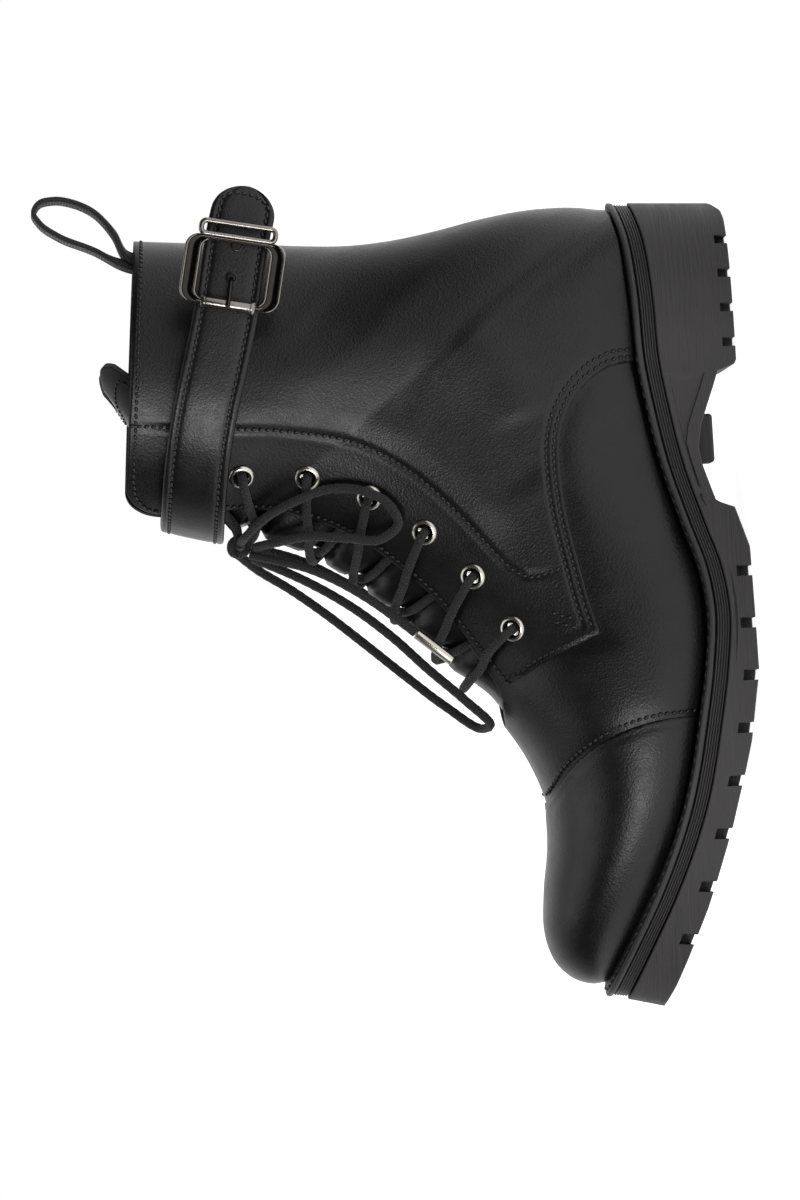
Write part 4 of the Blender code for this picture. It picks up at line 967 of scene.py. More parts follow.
# ---- Upper -------------------------------------------------------------------------------
QUARTER_EDGE = (            # lower cut edge of the quarter, from the welt to the facing's front
    (56.4, 24), (56.3, 35.5), (57.4, 44), (61.5, 51.5), (69, 58.6), (78, 62.9), (86, 64.3),
    (94.7, 64.4), (109.3, 63.2), (127.7, 59.9), (141, 57.2), (151.2, 54.4))
TAB_EDGE = (                # bottom edge of the facing
    (151.2, 54.4), (155.4, 64.5), (160, 75), (165.2, 84.6), (165.9, 88.6), (163.6, 91.8), (157.5, 95.6))
FACING_SEAM = (             # stitched line that holds the facing's lining
    (67.6, 217), (69.6, 198), (70.9, 181.7), (73.4, 158), (79.2, 134.2), (89.6, 117.3), (100, 106.3),
    (110.4, 97.1), (121.8, 88), (127.5, 82.5), (129.9, 76.8), (128.6, 70.5), (126.4, 64.6))
CAP_EDGE = (                # back edge of the toe cap, from over the ridge to the welt
    (212.5, 82), (209.9, 75.4), (205.2, 72.2), (199.4, 68.6), (190.8, 58.2), (185.8, 47.5), (183.2, 36.9),
    (182.2, 22.4), (182, 12))


def shifted(route: np.ndarray, distance: float) -> np.ndarray:
    """A side-view line moved to its left by a distance."""
    ahead = unit(np.gradient(route, axis=0))
    return route + np.column_stack([-ahead[:, 1], ahead[:, 0]]) * distance


@dataclass
class Upper:
    """Leather upper: vamp, toe cap, two quarters and plush lining.

    Each part is a flat pattern of spots that is cut along side-view lines and then laid on the last.
    """

    last: Last
    finishes: Materials
    cell: float = 1.1
    leather: float = 0.8
    lining: float = 0.6
    overlap: float = 7.0
    cap_overlap: float = 10.0
    hole: float = 3.3
    lining_hole: float = 3.1
    inset: float = 2.3
    rows: tuple[float, float] = (2.1, 4.7)
    groove: float = 0.45
    throat_low: float = 8.75
    corner_round: float = 15.0
    folds: tuple[Fold, ...] = (
        Fold(FACING_SEAM, -0.65, 1.3, fade=0.12),
        Fold(FACING_SEAM, 0.3, 3.6, fade=0.12),
        Fold(((66, 190), (69, 160), (73, 133), (83, 113), (96, 100), (107, 90.5), (116, 81.5)), 0.6, 7.0),
        Fold(((57, 118), (70, 98), (86, 84), (102, 74)), -0.45, 10.0),
        Fold(((40, 96), (58, 82), (76, 75)), 0.5, 9.0),
        Fold(((30, 150), (48, 130), (60, 108)), -0.35, 13.0),
    )
    thread: Thread | None = None
    fine_thread: Thread | None = None

    def __post_init__(self) -> None:
        """Prepares the outlines and the two threads."""
        edge = through(QUARTER_EDGE, 80)
        tab = through(TAB_EDGE, 40)
        above = [(150, 125), (120, 160), (105, 195)]
        self.quarter = Outline(np.vstack([edge, tab[1:], [(168, 104)], above, [(105, 260), (-60, 260), (-60, 24)]]))
        cap = through(CAP_EDGE, 80)
        self.cap = Outline(np.vstack([cap, [(320, 12), (320, 100), (212.5, 100)]]))
        self.edge_line, self.tab_line = edge, tab
        self.thread = Thread(self.finishes.thread, pitch=2.5, long=2.1, wide=1.3, high=1.0, turn=0.3)
        self.fine_thread = Thread(self.finishes.thread, pitch=2.6, long=2.2, wide=0.85, high=0.7, turn=0.2)

    # -- surfaces --
    def crease(self, points: np.ndarray) -> np.ndarray:
        """Lift of every fold at some boot points."""
        return sum(fold.lift(points[:, [0, 2]]) for fold in self.folds)

    def quarter_lift(self, points: np.ndarray) -> np.ndarray:
        """Height of the quarter's face over the last."""
        inside = self.quarter.inside(points[:, [0, 2]])
        groove = sum(-self.groove * np.exp(-((inside - row) / 0.85) ** 2) for row in self.rows)
        groove *= smooth((points[:, 0] - 52) / 6) * smooth((152 - points[:, 0]) / 6) * (points[:, 2] < 80)
        rim = -0.30 * np.exp(-(np.maximum(inside, 0) / 0.8) ** 2)
        return self.crease(points) + groove + rim

    def vamp_lift(self, points: np.ndarray) -> np.ndarray:
        """Height of the vamp's face: it dips under the quarter and the toe cap."""
        spots = points[:, [0, 2]]
        away = np.minimum(-self.quarter.inside(spots), -self.cap.inside(spots))
        return -0.1 - 0.82 * np.exp(-(np.maximum(away, 0) / 4.5) ** 1.5) + 0.35 * self.crease(points)

    def cap_face(self, points: np.ndarray) -> np.ndarray:
        """Height of the toe cap's face."""
        inside = self.cap.inside(points[:, [0, 2]])
        return -0.28 * np.exp(-((inside - 2.0) / 0.9) ** 2) - 0.3 * np.exp(-(np.maximum(inside, 0) / 0.8) ** 2)

    def lining_lift(self, points: np.ndarray) -> np.ndarray:
        """Height of the lining's outer face: close under the quarter, deeper under the vamp."""
        inside = self.quarter.inside(points[:, [0, 2]])
        return -2.15 + 0.98 * smooth((inside - 9) / 7) + self.crease(points)

    def shaped(self, flat: bmesh.types.BMesh, lift: Callable[[np.ndarray], np.ndarray]) -> bmesh.types.BMesh:
        """Lays a flat pattern on the last.

        Args:
            flat: the pattern, with spots in its corners.
            lift: gives the height over the last at boot points.

        Returns:
            The same mesh, shaped.
        """
        points, _ = self.line(np.array([corner.co[:2] for corner in flat.verts]), lift)
        for corner, point in zip(flat.verts, to_world(points)):
            corner.co = point
        bmesh.ops.remove_doubles(flat, verts=flat.verts, dist=0.01 * MM)
        bmesh.ops.dissolve_degenerate(flat, dist=0.005 * MM, edges=flat.edges)
        return flat

    def line(self, spots: np.ndarray, lift: Callable[[np.ndarray], np.ndarray]) -> tuple[np.ndarray, np.ndarray]:
        """Points and normals at rows of spots on a shaped part."""
        ground, normals = self.last.points(*spots.T), self.last.normals(*spots.T)
        return ground + normals * lift(ground)[:, None], normals

    def corner_distance(self, spots: np.ndarray) -> np.ndarray:
        """Distance inside the round corner where a facing's edge meets the collar, in millimetres."""
        places, reaches = spots.T
        here = self.last.points(places, reaches)
        facing = self.last.points(places, np.where(reaches < 0, -EDGE_REACH, EDGE_REACH))
        collar = self.last.points(np.full(len(spots), self.last.end), reaches)
        behind = np.linalg.norm(here - facing, axis=1) * np.sign(np.abs(reaches) - EDGE_REACH) - self.corner_round
        below = np.linalg.norm(here - collar, axis=1) - self.corner_round
        return self.corner_round - np.hypot(behind, below) * ((behind < 0) & (below < 0))

    def below_collar(self, distance: np.ndarray | float, reaches: np.ndarray) -> np.ndarray:
        """Places that lie some millimetres below the collar at some reaches."""
        end = np.full(len(reaches), self.last.end)
        rows = np.linalg.norm(self.last.points(end, reaches) - self.last.points(end - 3.0, reaches), axis=1) / 3.0
        return end - distance / rows

    def throat(self, reach: np.ndarray) -> np.ndarray:
        """Place of the vamp's rounded throat edge at a reach."""
        return self.throat_low + (THROAT_ROW - self.throat_low) * np.minimum(1.0, (reach / 0.22) ** 2)

    def in_quarter(self, spots: np.ndarray) -> np.ndarray:
        """Distance of some spots inside the quarter's outline, in the side view."""
        return self.quarter.inside(self.last.points(*spots.T)[:, [0, 2]])

    def in_cap(self, spots: np.ndarray) -> np.ndarray:
        """Distance of some spots inside the toe cap's outline, in the side view."""
        return self.cap.inside(self.last.points(*spots.T)[:, [0, 2]])

    def below_throat(self, spots: np.ndarray, let_out: float = 0.0) -> np.ndarray:
        """Rough distance of some spots below the throat edge, in millimetres.

        Args:
            spots: rows of (place, reach).
            let_out: how many places further up the edge runs beside the facings.

        Returns:
            The distances, minus above the edge.
        """
        places, reaches = spots.T
        beside = smooth((np.abs(reaches) - 0.2) / 0.12)
        return PLACE_LONG * (self.throat(reaches) - places + let_out * beside)

    # -- parts --
    def build(self) -> None:
        """Builds every leather part and its stitches."""
        end = self.last.end
        for side, label in ((1, "lateral"), (-1, "medial")):
            flat = self.last.pattern((9.0, end), (side * EDGE_REACH, float(side)), self.cell)
            cut_flat(flat, self.in_quarter)
            cut_flat(flat, self.corner_distance)
            self.bore(flat, side, self.hole)
            self.part(f"quarter_{label}", flat, self.quarter_lift, self.leather, ["upper"])
        flat = self.last.pattern((0.0, 16.0), (-1.0, 1.0), self.cell)
        cut_flat(flat, lambda spots: self.overlap - self.in_quarter(spots))
        cut_flat(flat, lambda spots: self.below_throat(spots, 9.0))
        cut_flat(flat, lambda spots: self.cap_overlap - self.in_cap(spots))
        self.part("vamp", flat, self.vamp_lift, 0.9)
        flat = self.last.pattern((0.0, 9.0), (-1.0, 1.0), self.cell)
        cut_flat(flat, self.in_cap)
        self.part("toe_cap", flat, self.cap_face, 0.95)
        flat = self.last.pattern((0.0, end), (-1.0, 1.0), 1.9)
        # The lining stays a little behind the facings' edges and inside the collar's corner.
        cut_flat(flat, lambda spots: np.maximum(self.below_throat(spots),
                                                REACH_LONG * (np.abs(spots[:, 1]) - (EDGE_REACH + 0.006))))
        cut_flat(flat, lambda spots: self.corner_distance(spots) - 0.4)
        self.bore(flat, 1, self.lining_hole)
        self.bore(flat, -1, self.lining_hole)
        piece = add_piece("lining", self.shaped(flat, self.lining_lift), [self.finishes.plush])
        self.outward(piece)
        thicken(piece, self.lining, 0)
        self.seams()

    def part(self, name: str, flat: bmesh.types.BMesh, lift: Callable[[np.ndarray], np.ndarray], thick: float,
             replaces: Sequence[str] = ()) -> None:
        """Makes a leather part of a cut pattern.

        Args:
            name: the piece's name.
            flat: the pattern, with spots in its corners.
            lift: gives the height over the last at boot points.
            thick: the leather's thickness.
            replaces: solids that it stands for.
        """
        finishes = [self.finishes.leather, self.finishes.cut_edge]
        piece = add_piece(name, self.shaped(flat, lift), finishes, replaces)
        self.outward(piece)
        thicken(piece, thick)

    def bore(self, flat: bmesh.types.BMesh, side: int, radius: float) -> None:
        """Cuts the eyelet holes of one side in a flat pattern."""
        middles = np.array([self.last.eyelet_middle(place, side) for place in self.last.eyelets])

        def off(spots: np.ndarray) -> np.ndarray:
            points = self.last.points(*spots.T)
            return np.linalg.norm(points[:, None] - middles[None], axis=2).min(axis=1) - radius

        cut_flat(flat, off)

    def outward(self, piece: bpy.types.Object) -> None:
        """Turns the faces of a part so that they point away from the middle of the foot and the shaft."""
        ankle, low, high = 95.0, 30.0, 95.0
        total = 0.0
        for face in list(piece.data.polygons)[::37]:
            middle = np.array(face.center) / MM
            inner = np.array([-SIDE_MIDDLE, middle[1] * 0.9, high if middle[2] > ankle else low])
            total += float(np.dot(np.array(face.normal), middle - inner))
        if total < 0:
            piece.data.flip_normals()

    # -- seams --
    def seams(self) -> None:
        """Sews the upper's rows of stitches."""
        last = self.last
        turn, radius = np.linspace(0, math.pi / 2, 20), self.corner_round - self.inset
        corner = self.below_collar(self.corner_round - radius * np.sin(turn), np.full(20, 0.3))
        rows = np.concatenate([np.linspace(THROAT_ROW + 0.1, corner[0] - 0.1, 160), corner])
        away = np.concatenate([np.full(160, self.inset), self.corner_round - radius * np.cos(turn)])
        for side in (1, -1):
            for offset in self.rows:
                route = shifted(self.edge_line, offset)
                route = route[(route[:, 1] > 36) & (route[:, 0] < 150.2 - offset * 0.5)]
                self.thread.sew(*self.line(last.find(route, side), self.quarter_lift))
            self.thread.sew(*self.line(last.find(through(FACING_SEAM, 90)[:-1], side), self.quarter_lift))
            tab = shifted(self.tab_line, 1.7)
            self.fine_thread.sew(*self.line(last.find(tab[1:30], side), self.quarter_lift))
            front = np.array([(place, last.behind(place, side, distance)) for place, distance in zip(rows, away)])
            reach = side * np.linspace(abs(front[-1, 1]) + 0.01, 0.97, 110)
            collar = np.column_stack([self.below_collar(self.inset, reach), reach])
            self.thread.sew(*self.line(np.vstack([front, collar]), self.quarter_lift))
            for f in (0.0, 3.4):     # two bar tacks hold the facing's lower corner
                tack = np.array([(142.6 + f, 71.2 - 0.2 * f), (145.4 + f, 63.4 - 0.4 * f)])
                self.thread.sew(*self.line(last.find(evenly(tack, 12), side), self.quarter_lift))
        cap = shifted(through(CAP_EDGE, 120), -2.0)
        cap = cap[(cap[:, 1] > 21) & (cap[:, 1] < 75.4)]
        for side in (1, -1):
            self.thread.sew(*self.line(last.find(cap, side), self.cap_face))
        self.thread.build("upper_double_seams")
        self.fine_thread.build("upper_edge_stitches")


# ---- Tongue, strap and loop --------------------------------------------------------------
@dataclass
class Tongue:
    """Leather tongue, crowned between the facings and spread open at its top.

    tucked is how far its edges run behind the facings' edges, and spread how much further they run at the top.
    puff is how far it swells between the strands, and clear the room that it leaves round one. bow and corner
    shape its upper edge, dip sinks it under the facings, back and flare bend its top, and ripple waves it.
    """

    last: Last
    finishes: Materials
    strands: np.ndarray
    rows: int = 150
    columns: int = 72
    thick: float = 1.8
    low: float = 8.3
    tucked: float = 8.0
    spread: float = 14.0
    puff: float = 4.4
    clear: float = 2.0
    bow: float = 1.2
    corner: float = 1.5
    dip: float = 1.9
    ripple: float = 0.35
    back: float = 38.0
    flare: tuple[float, float] = (6.0, 9.0)

    def spot(self, climb: np.ndarray, across: np.ndarray, lift: float = 0.0) -> np.ndarray:
        """Points of its outer face; climb runs 0 to 1 up it and across -1 to 1 over it."""
        table = {}
        for q in np.unique(climb):
            place = self.low + (TONGUE_TOP - self.low) * q
            distance = self.tucked + self.spread * float(smooth((q - 0.45) / 0.55))
            table[q] = [abs(self.last.behind(place, side, distance)) for side in (-1, 1)]
        outer = np.array([table[q][int(t >= 0)] for q, t in zip(climb, across)])
        top = TONGUE_TOP + self.bow * across**2 - self.corner * np.abs(across) ** 9
        place = self.low + (top - self.low) * climb
        reach = np.where(across >= 0, 1, -1) * np.maximum(np.abs(across), 1e-6) * outer
        off = np.abs(reach) / EDGE_REACH
        dip = self.dip * smooth((off - 0.45) / 0.5) * smooth((26 - place) / 3)
        wave = self.ripple * np.sin(climb * 9 + across * 1.3) * smooth((place - 15) / 6)
        ground = self.last.lifted(place, reach, -TONGUE_DEPTH)
        room = np.min([np.linalg.norm(ground - strand, axis=1) for strand in self.strands], axis=0)
        crown = smooth((room - self.clear) / 4.5) * smooth(1.25 - off * 1.25) * smooth((place - 9.3) / 1.2)
        crown *= smooth((22.5 - place) / 2.5)
        points = self.last.lifted(place, reach, lift - TONGUE_DEPTH - dip + wave + self.puff * crown)
        points[:, 0] -= self.back * np.maximum(0.0, (place - 16) / 11.4) ** 2
        points[:, 2] += (self.flare[0] + self.flare[1] * across**2) * np.maximum(0.0, (climb - 0.6) / 0.4) ** 2
        return points

    def build(self) -> None:
        """Builds the tongue and the stitches round its top."""
        shape = bent_grid((self.rows, self.columns), lambda u, v: self.spot(u, 2 * v - 1))
        piece = add_piece("tongue_leather", shape, [self.finishes.leather, self.finishes.cut_edge],
                          ["tongue"])
        front = max(piece.data.polygons, key=lambda face: -face.center.y)
        if front.normal.y > 0:
            piece.data.flip_normals()
        thicken(piece, self.thick, 1, 0.3)
        thread = Thread(self.finishes.thread, pitch=2.4, long=2.0, wide=0.6, high=0.5)
        climb = np.concatenate([np.linspace(0.62, 0.955, 40), np.full(60, 0.965), np.linspace(0.955, 0.62, 40)])
        across = np.concatenate([np.full(40, -0.93), np.linspace(-0.92, 0.92, 60), np.full(40, 0.93)])
        points = self.spot(climb, across, 0.1)
        normals = unit(points - self.spot(climb, across, -0.9))
        thread.sew(points, normals)
        thread.build("tongue_stitches")


@dataclass
class Strap:
    """Folded leather strap over the instep, stitched near both edges, with a round tip."""

    finishes: Materials
    tip: float = 11.0
    row_inset: float = 3.0
    steps: int = 240

    def face(self) -> tuple[np.ndarray, np.ndarray, np.ndarray, np.ndarray]:
        """Middle line of the strap with its up and outward directions and its half width."""
        length = run_of(through(STRAP_ROUTE, 400))[-1]
        fine = through(STRAP_ROUTE, 1200)
        run = run_of(fine)
        straight = np.linspace(0, length - self.tip, self.steps)
        bend = length - self.tip + self.tip * np.sin(np.linspace(0, math.pi / 2, 16)[1:])
        stops = np.concatenate([straight, bend])
        line = read_rows(stops, run, fine)
        ahead = unit(read_rows(stops, run, unit(np.gradient(fine, axis=0))))
        upright = np.array(STRAP_UPRIGHT)
        up = unit(upright - ahead * (ahead @ upright)[:, None])
        out = np.cross(ahead, up)
        left = np.maximum(length - stops, 0)
        taper = np.sqrt(np.maximum(0.002, 1 - (1 - left / self.tip) ** 2))
        half = STRAP_WIDE / 2 * np.where(left < self.tip, taper, 1.0)
        return line, up, out, half

    def build(self) -> None:
        """Builds the strap, its stitches and its holes."""
        line, up, out, half = self.face()
        edge, top = STRAP_WIDE / 2, STRAP_THICK / 2
        rim = ((0.0, 0.0), (0.0, 0.55), (0.25, 0.95), (0.8, 1.22), (1.5, top), (2.1, 1.22), (2.6, 0.98), (3.0, 0.92),
               (3.4, 0.98), (4.0, 1.18), (5.0, top))     # from the edge, height: the stitches lie in the groove
        outer = [(-edge + inset, rise) for inset, rise in rim] + [(-4.0, top + 0.05), (0.0, top + 0.08)]
        outer += [(-a, b) for a, b in outer[-2::-1]]
        inner = [(edge - 0.25, -0.95), (edge - 1.2, -top), (0.0, -top), (-edge + 1.2, -top), (-edge + 0.25, -0.95)]
        profile = np.array(outer + inner + outer[:1])
        across = profile[:, :1] * (half / (STRAP_WIDE / 2))[:, None, None]
        shape = lattice(line[:, None] + up[:, None] * across + out[:, None] * profile[:, 1:])
        close_holes(shape)
        add_piece("strap_leather", shape, [self.finishes.leather], ["strap"])
        thread = Thread(self.finishes.thread, pitch=2.5, long=2.1, wide=1.2, high=0.9, turn=0.3)
        body = half > STRAP_WIDE / 2 - 0.6
        for way in (1, -1):
            thread.sew(line[body] + up[body] * way * (edge - self.row_inset) + out[body] * 0.95, out[body])
        tip_at = np.flatnonzero(body)[-1]
        middle, ahead = line[tip_at], unit(line[tip_at + 1] - line[tip_at])
        arc = np.array([middle + up[tip_at] * math.cos(angle) * (edge - self.row_inset)
                        + ahead * math.sin(angle) * (self.tip - 6.6) for angle in np.linspace(0, math.pi, 24)])
        near = np.array([np.linalg.norm(line - spot, axis=1).argmin() for spot in arc])
        arc += out[near] * np.einsum("ij,ij->i", line[near] - arc, out[near])[:, None] + out[near] * (top + 0.02)
        thread.sew(arc, out[near])
        thread.build("strap_stitches")
        self.holes(line, out)

    def holes(self, line: np.ndarray, out: np.ndarray) -> None:
        """Punched holes: a puckered rim round a dark dimple.

        Args:
            line: the strap's middle line.
            out: the outward directions along it.
        """
        ring = [(0.02, -0.35), (0.9, -0.3), (1.35, 0.1), (1.65, 0.32), (2.1, 0.22), (2.5, -0.2)]
        rings = []
        for forward, height in STRAP_HOLES:
            k = np.linalg.norm(line[:, [0, 2]] - (forward, height), axis=1).argmin()
            spot = np.array([forward, line[k, 1] + 0.3, height]) + out[k] * (STRAP_THICK / 2 - 0.28)
            rings.append(stand(spun(ring, 20, closed=False), spot, out[k]))
        add_piece("strap_holes", join_shapes(rings), [self.finishes.leather])


@dataclass
class PullLoop:
    """Woven tape folded over and sewn inside the back of the collar."""

    finishes: Materials
    steps: int = 120
    bow: float = 2.9
    bow_low: float = 207.0
    bow_run: float = 16.0

    def build(self) -> None:
        """Builds the tape, which is bowed with the shaft where it is sewn in."""
        route = through(PULL_ROUTE, self.steps + 1)
        ahead = unit(np.gradient(route, axis=0))
        normal = np.column_stack([-ahead[:, 1], ahead[:, 0]])
        half, thick = PULL_WIDE / 2, PULL_THICK / 2
        across = np.linspace(-half + 0.3, half - 0.3, 20)
        profile = [(a, thick) for a in across] + [(half, thick * 0.5), (half, -thick * 0.5)]
        profile += [(a, -thick) for a in across[::-1]] + [(-half, -thick * 0.5), (-half, thick * 0.5)]
        profile = np.array(profile + profile[:1])
        a, b = profile.T
        bow = self.bow * (1 - smooth((route[:, 1:] - self.bow_low) / self.bow_run)) * (a / half) ** 2
        forward, height = route[:, :1] + normal[:, :1] * b + bow, route[:, 1:] + normal[:, 1:] * b
        shape = lattice(np.stack([forward, np.broadcast_to(a, forward.shape), height], axis=2),
                        (run_of(route)[-1], 2 * PULL_WIDE))
        close_holes(shape)
        add_piece("pull_loop_tape", shape, [self.finishes.webbing], ["pull_loop"])


# ---- Sole --------------------------------------------------------------------------------
@dataclass
class SoleBands:
    """The ribbed band and the stitched welt that run all round the sole."""

    finishes: Materials
    stations: int = 560
    ribs: int = 5
    stitched_from: float = 52.0

    def __post_init__(self) -> None:
        """Lays the sole's outline out as one closed line."""
        halves = []
        for table, side in ((LATERAL_EDGE, 1), (MEDIAL_EDGE, -1)):
            rows = np.array(table, float)
            fine = spline(run_of(rows), rows, np.linspace(0, run_of(rows)[-1], 700))
            halves.append(fine * (1, side))
        ring = evenly(np.vstack([halves[0], halves[1][::-1][1:]]), self.stations + 1)
        ahead = unit(np.roll(ring[:-1], -1, axis=0) - np.roll(ring[:-1], 1, axis=0))
        ahead = np.vstack([ahead, ahead[:1]])
        self.ring, self.out = ring, np.column_stack([-ahead[:, 1], ahead[:, 0]])

    def point(self, station: np.ndarray, inset: np.ndarray, rise: np.ndarray, share: np.ndarray) -> np.ndarray:
        """Points beside the sole: inset from its outline and a rise under the welt's top face."""
        edge, out = self.ring[station], self.out[station]
        forward = edge[:, 0]
        lean = sole_lean(forward)
        top = height_at(FEATHER, forward + lean)
        plan = edge - out * inset[:, None]
        return np.column_stack([plan[:, 0] + lean * share, plan[:, 1], top - rise])

    def band(self, name: str, profile: np.ndarray, finish: bpy.types.Material, replaces: list[str]) -> None:
        """One closed band all round.

        Args:
            name: the piece's name.
            profile: closed rows of (inset, rise under the welt's top, share of the lean).
            finish: its material.
            replaces: the solid that it stands for.
        """
        columns = len(profile) - 1

        def bend(u: np.ndarray, v: np.ndarray) -> np.ndarray:
            return self.point(step_of(u, self.stations), *profile[step_of(v, columns)].T)

        add_piece(name, bent_grid((self.stations, columns), bend, (640.0, 20.0)), [finish], replaces)

    def build(self) -> None:
        """Builds the band, the welt and its stitches."""
        high = WELT_THICK + 1.5 * GAP
        low = high + MIDSOLE_THICK
        t = np.linspace(0, 1, 6 * self.ribs + 1)
        wave = 0.45 * np.abs(np.sin(math.pi * self.ribs * t)) ** 0.6
        outer = np.column_stack([MIDSOLE_INSET + 0.45 - wave, low + (high - low) * t, 0.75 + 0.15 * t])
        inner = [(11, high, 0.9), (11, low, 0.75)]
        self.band("midsole_ribs", np.vstack([outer, inner, outer[:1]]), self.finishes.midsole,
                  ["midsole"])
        welt = [(0.9, WELT_THICK, 0.92), (0.45, WELT_THICK - 0.3, 0.93), (0.3, 1.5, 0.95), (0.3, 0.8, 0.97),
                (0.5, 0.3, 0.99), (1.0, 0.05, 1.0), (1.7, 0.12, 1.0), (2.2, 0.5, 1.0), (2.9, 0.55, 1.0),
                (3.4, 0.2, 1.0), (4.2, 0.0, 1.0), (8.0, 0.0, 1.0), (13, 0.1, 1.0), (13, WELT_THICK, 0.92)]
        self.band("welt_rand", np.array(welt + welt[:1]), self.finishes.welt, ["welt"])
        order = np.flatnonzero(self.ring[:, 0] > self.stitched_from)
        thread = Thread(self.finishes.thread, pitch=4.3, long=3.5, wide=1.15, high=1.2, turn=0.05)
        line = self.point(order, np.full(len(order), 2.5), np.full(len(order), 0.35), np.ones(len(order)))
        thread.sew(line, np.tile([0.0, 0.0, 1.0], (len(line), 1)))
        thread.build("welt_stitches", "welt_rubber")


@dataclass
class Outsole:
    """Rubber outsole: block heel, recessed arch panel, and notched lugs along both edges."""

    finish: bpy.types.Material
    step: float = 1.1
    slit: float = 0.04
    recess: float = 0.9

    def __post_init__(self) -> None:
        """Lays out the stations along the sole, close together at every sharp corner."""
        outline = np.column_stack([LATERAL_EDGE, np.array(MEDIAL_EDGE)[:, 1]]).astype(float)
        knots = run_of(outline[:, :2])
        fine = np.linspace(0, knots[-1], 3000)
        ways = spline(knots, outline, fine)
        sharp = list(TREAD_CORNERS)
        for first, pitch, count, wide, _, _ in LUGS:
            sharp += [first + k * pitch + way * wide / 2 for k in range(count) for way in (-1, 1)]
        pairs = np.concatenate([np.array(sharp) - self.slit, np.array(sharp) + self.slit])
        stops = np.concatenate([np.arange(0.05, knots[-1] - 0.05, self.step), np.interp(pairs, ways[:, 0], fine)])
        stops = np.unique(stops)
        self.plan = read_rows(stops, fine, ways)
        self.ahead = read_rows(stops, fine, np.gradient(ways, fine, axis=0))

    def notch(self, forward: np.ndarray) -> tuple[np.ndarray, np.ndarray, np.ndarray]:
        """Whether a station lies in a notch, and the depth and reach of the notches there."""
        cut = np.zeros(len(forward), bool)
        for first, pitch, count, wide, _, _ in LUGS:
            for k in range(count):
                cut |= np.abs(forward - first - k * pitch) < wide / 2
        front = forward > ARCH_END
        return cut, np.where(front, LUGS[0][4], LUGS[1][4]), np.where(front, LUGS[0][5], LUGS[1][5])

    def half(self, side: int) -> np.ndarray:
        """Columns of one half, from the middle of the top out and down to the middle of the tread."""
        way = 1 if side > 0 else 2
        forward, edge = self.plan[:, 0], self.plan[:, way]
        out = unit(np.column_stack([-self.ahead[:, way], self.ahead[:, 0]]))
        lean = sole_lean(forward)
        top = height_at(FEATHER, forward + lean) - WELT_THICK - MIDSOLE_THICK - 2.5 * GAP
        low = np.interp(forward, *np.array(TREAD, float).T)
        cut, deep, reach = self.notch(forward)
        level = np.minimum(low + deep, top - 3)
        panel = self.recess * smooth((forward - HEEL_BREAST) / 1.5) * smooth((ARCH_END - 6 - forward) / 4)
        shallow = np.minimum(1.0, edge / (reach + 4))
        none = np.zeros(len(forward))
        wall = np.where(cut, reach, 0.0) * shallow
        columns = [
            (none, 12 * shallow, top), (none + 0.35, none, top), (none, none, top - 0.35), (none, none, top - 2.2),
            (panel, none, top - 2.5), (panel, none, (top + level) / 2), (panel, none, level + 0.3),
            (none, none, level), (none, wall, level - 0.05), (none, wall, low + 0.4),
            (none + 0.4, wall, low), (none, (reach + 1.2) * shallow, low + 0.02 + 1.5 * cut)]
        rows = []
        for inset, across, height in columns:
            share = 0.7 * (height - low) / (top - low)
            wide = np.maximum(0.05, edge - inset * out[:, 1] - across)
            rows.append(np.column_stack([forward + lean * share - inset * out[:, 0], side * wide, height]))
        return np.stack(rows, axis=1)

    def build(self) -> None:
        """Builds the outsole."""
        whole = np.concatenate([self.half(1), self.half(-1)[:, ::-1]], axis=1)
        whole = np.concatenate([whole, whole[:, :1]], axis=1)
        shape = lattice(whole)
        close_holes(shape)
        add_piece("outsole_rubber", join_shapes([shape, block(*SHANK_LUG, 1.2)]), [self.finish],
                  ["outsole"], sharp=32)


# ---- Metal parts -------------------------------------------------------------------------
@dataclass
class Eyelets:
    """Rolled metal rings through the facings."""

    last: Last
    finish: bpy.types.Material
    profile: Route = ((2.75, -1.5), (2.75, 0.5), (2.95, 1.0), (3.45, 1.35), (4.0, 1.25), (4.5, 0.8), (4.65, 0.3),
                      (4.4, 0.05), (3.15, 0.05), (3.05, -1.5))

    def build(self) -> None:
        """Builds the rings of both sides."""
        for side, label in ((1, "lateral"), (-1, "medial")):
            rings = []
            for place in self.last.eyelets:
                spot = self.last.eyelet_spot(place, side)
                rings.append(stand(spun(self.profile, 32), self.last.points(*spot)[0], self.last.normals(*spot)[0]))
            add_piece(f"eyelet_rings_{label}", join_shapes(rings), [self.finish],
                      [f"eyelet_{label}_{k}" for k in range(1, EYELETS + 1)])


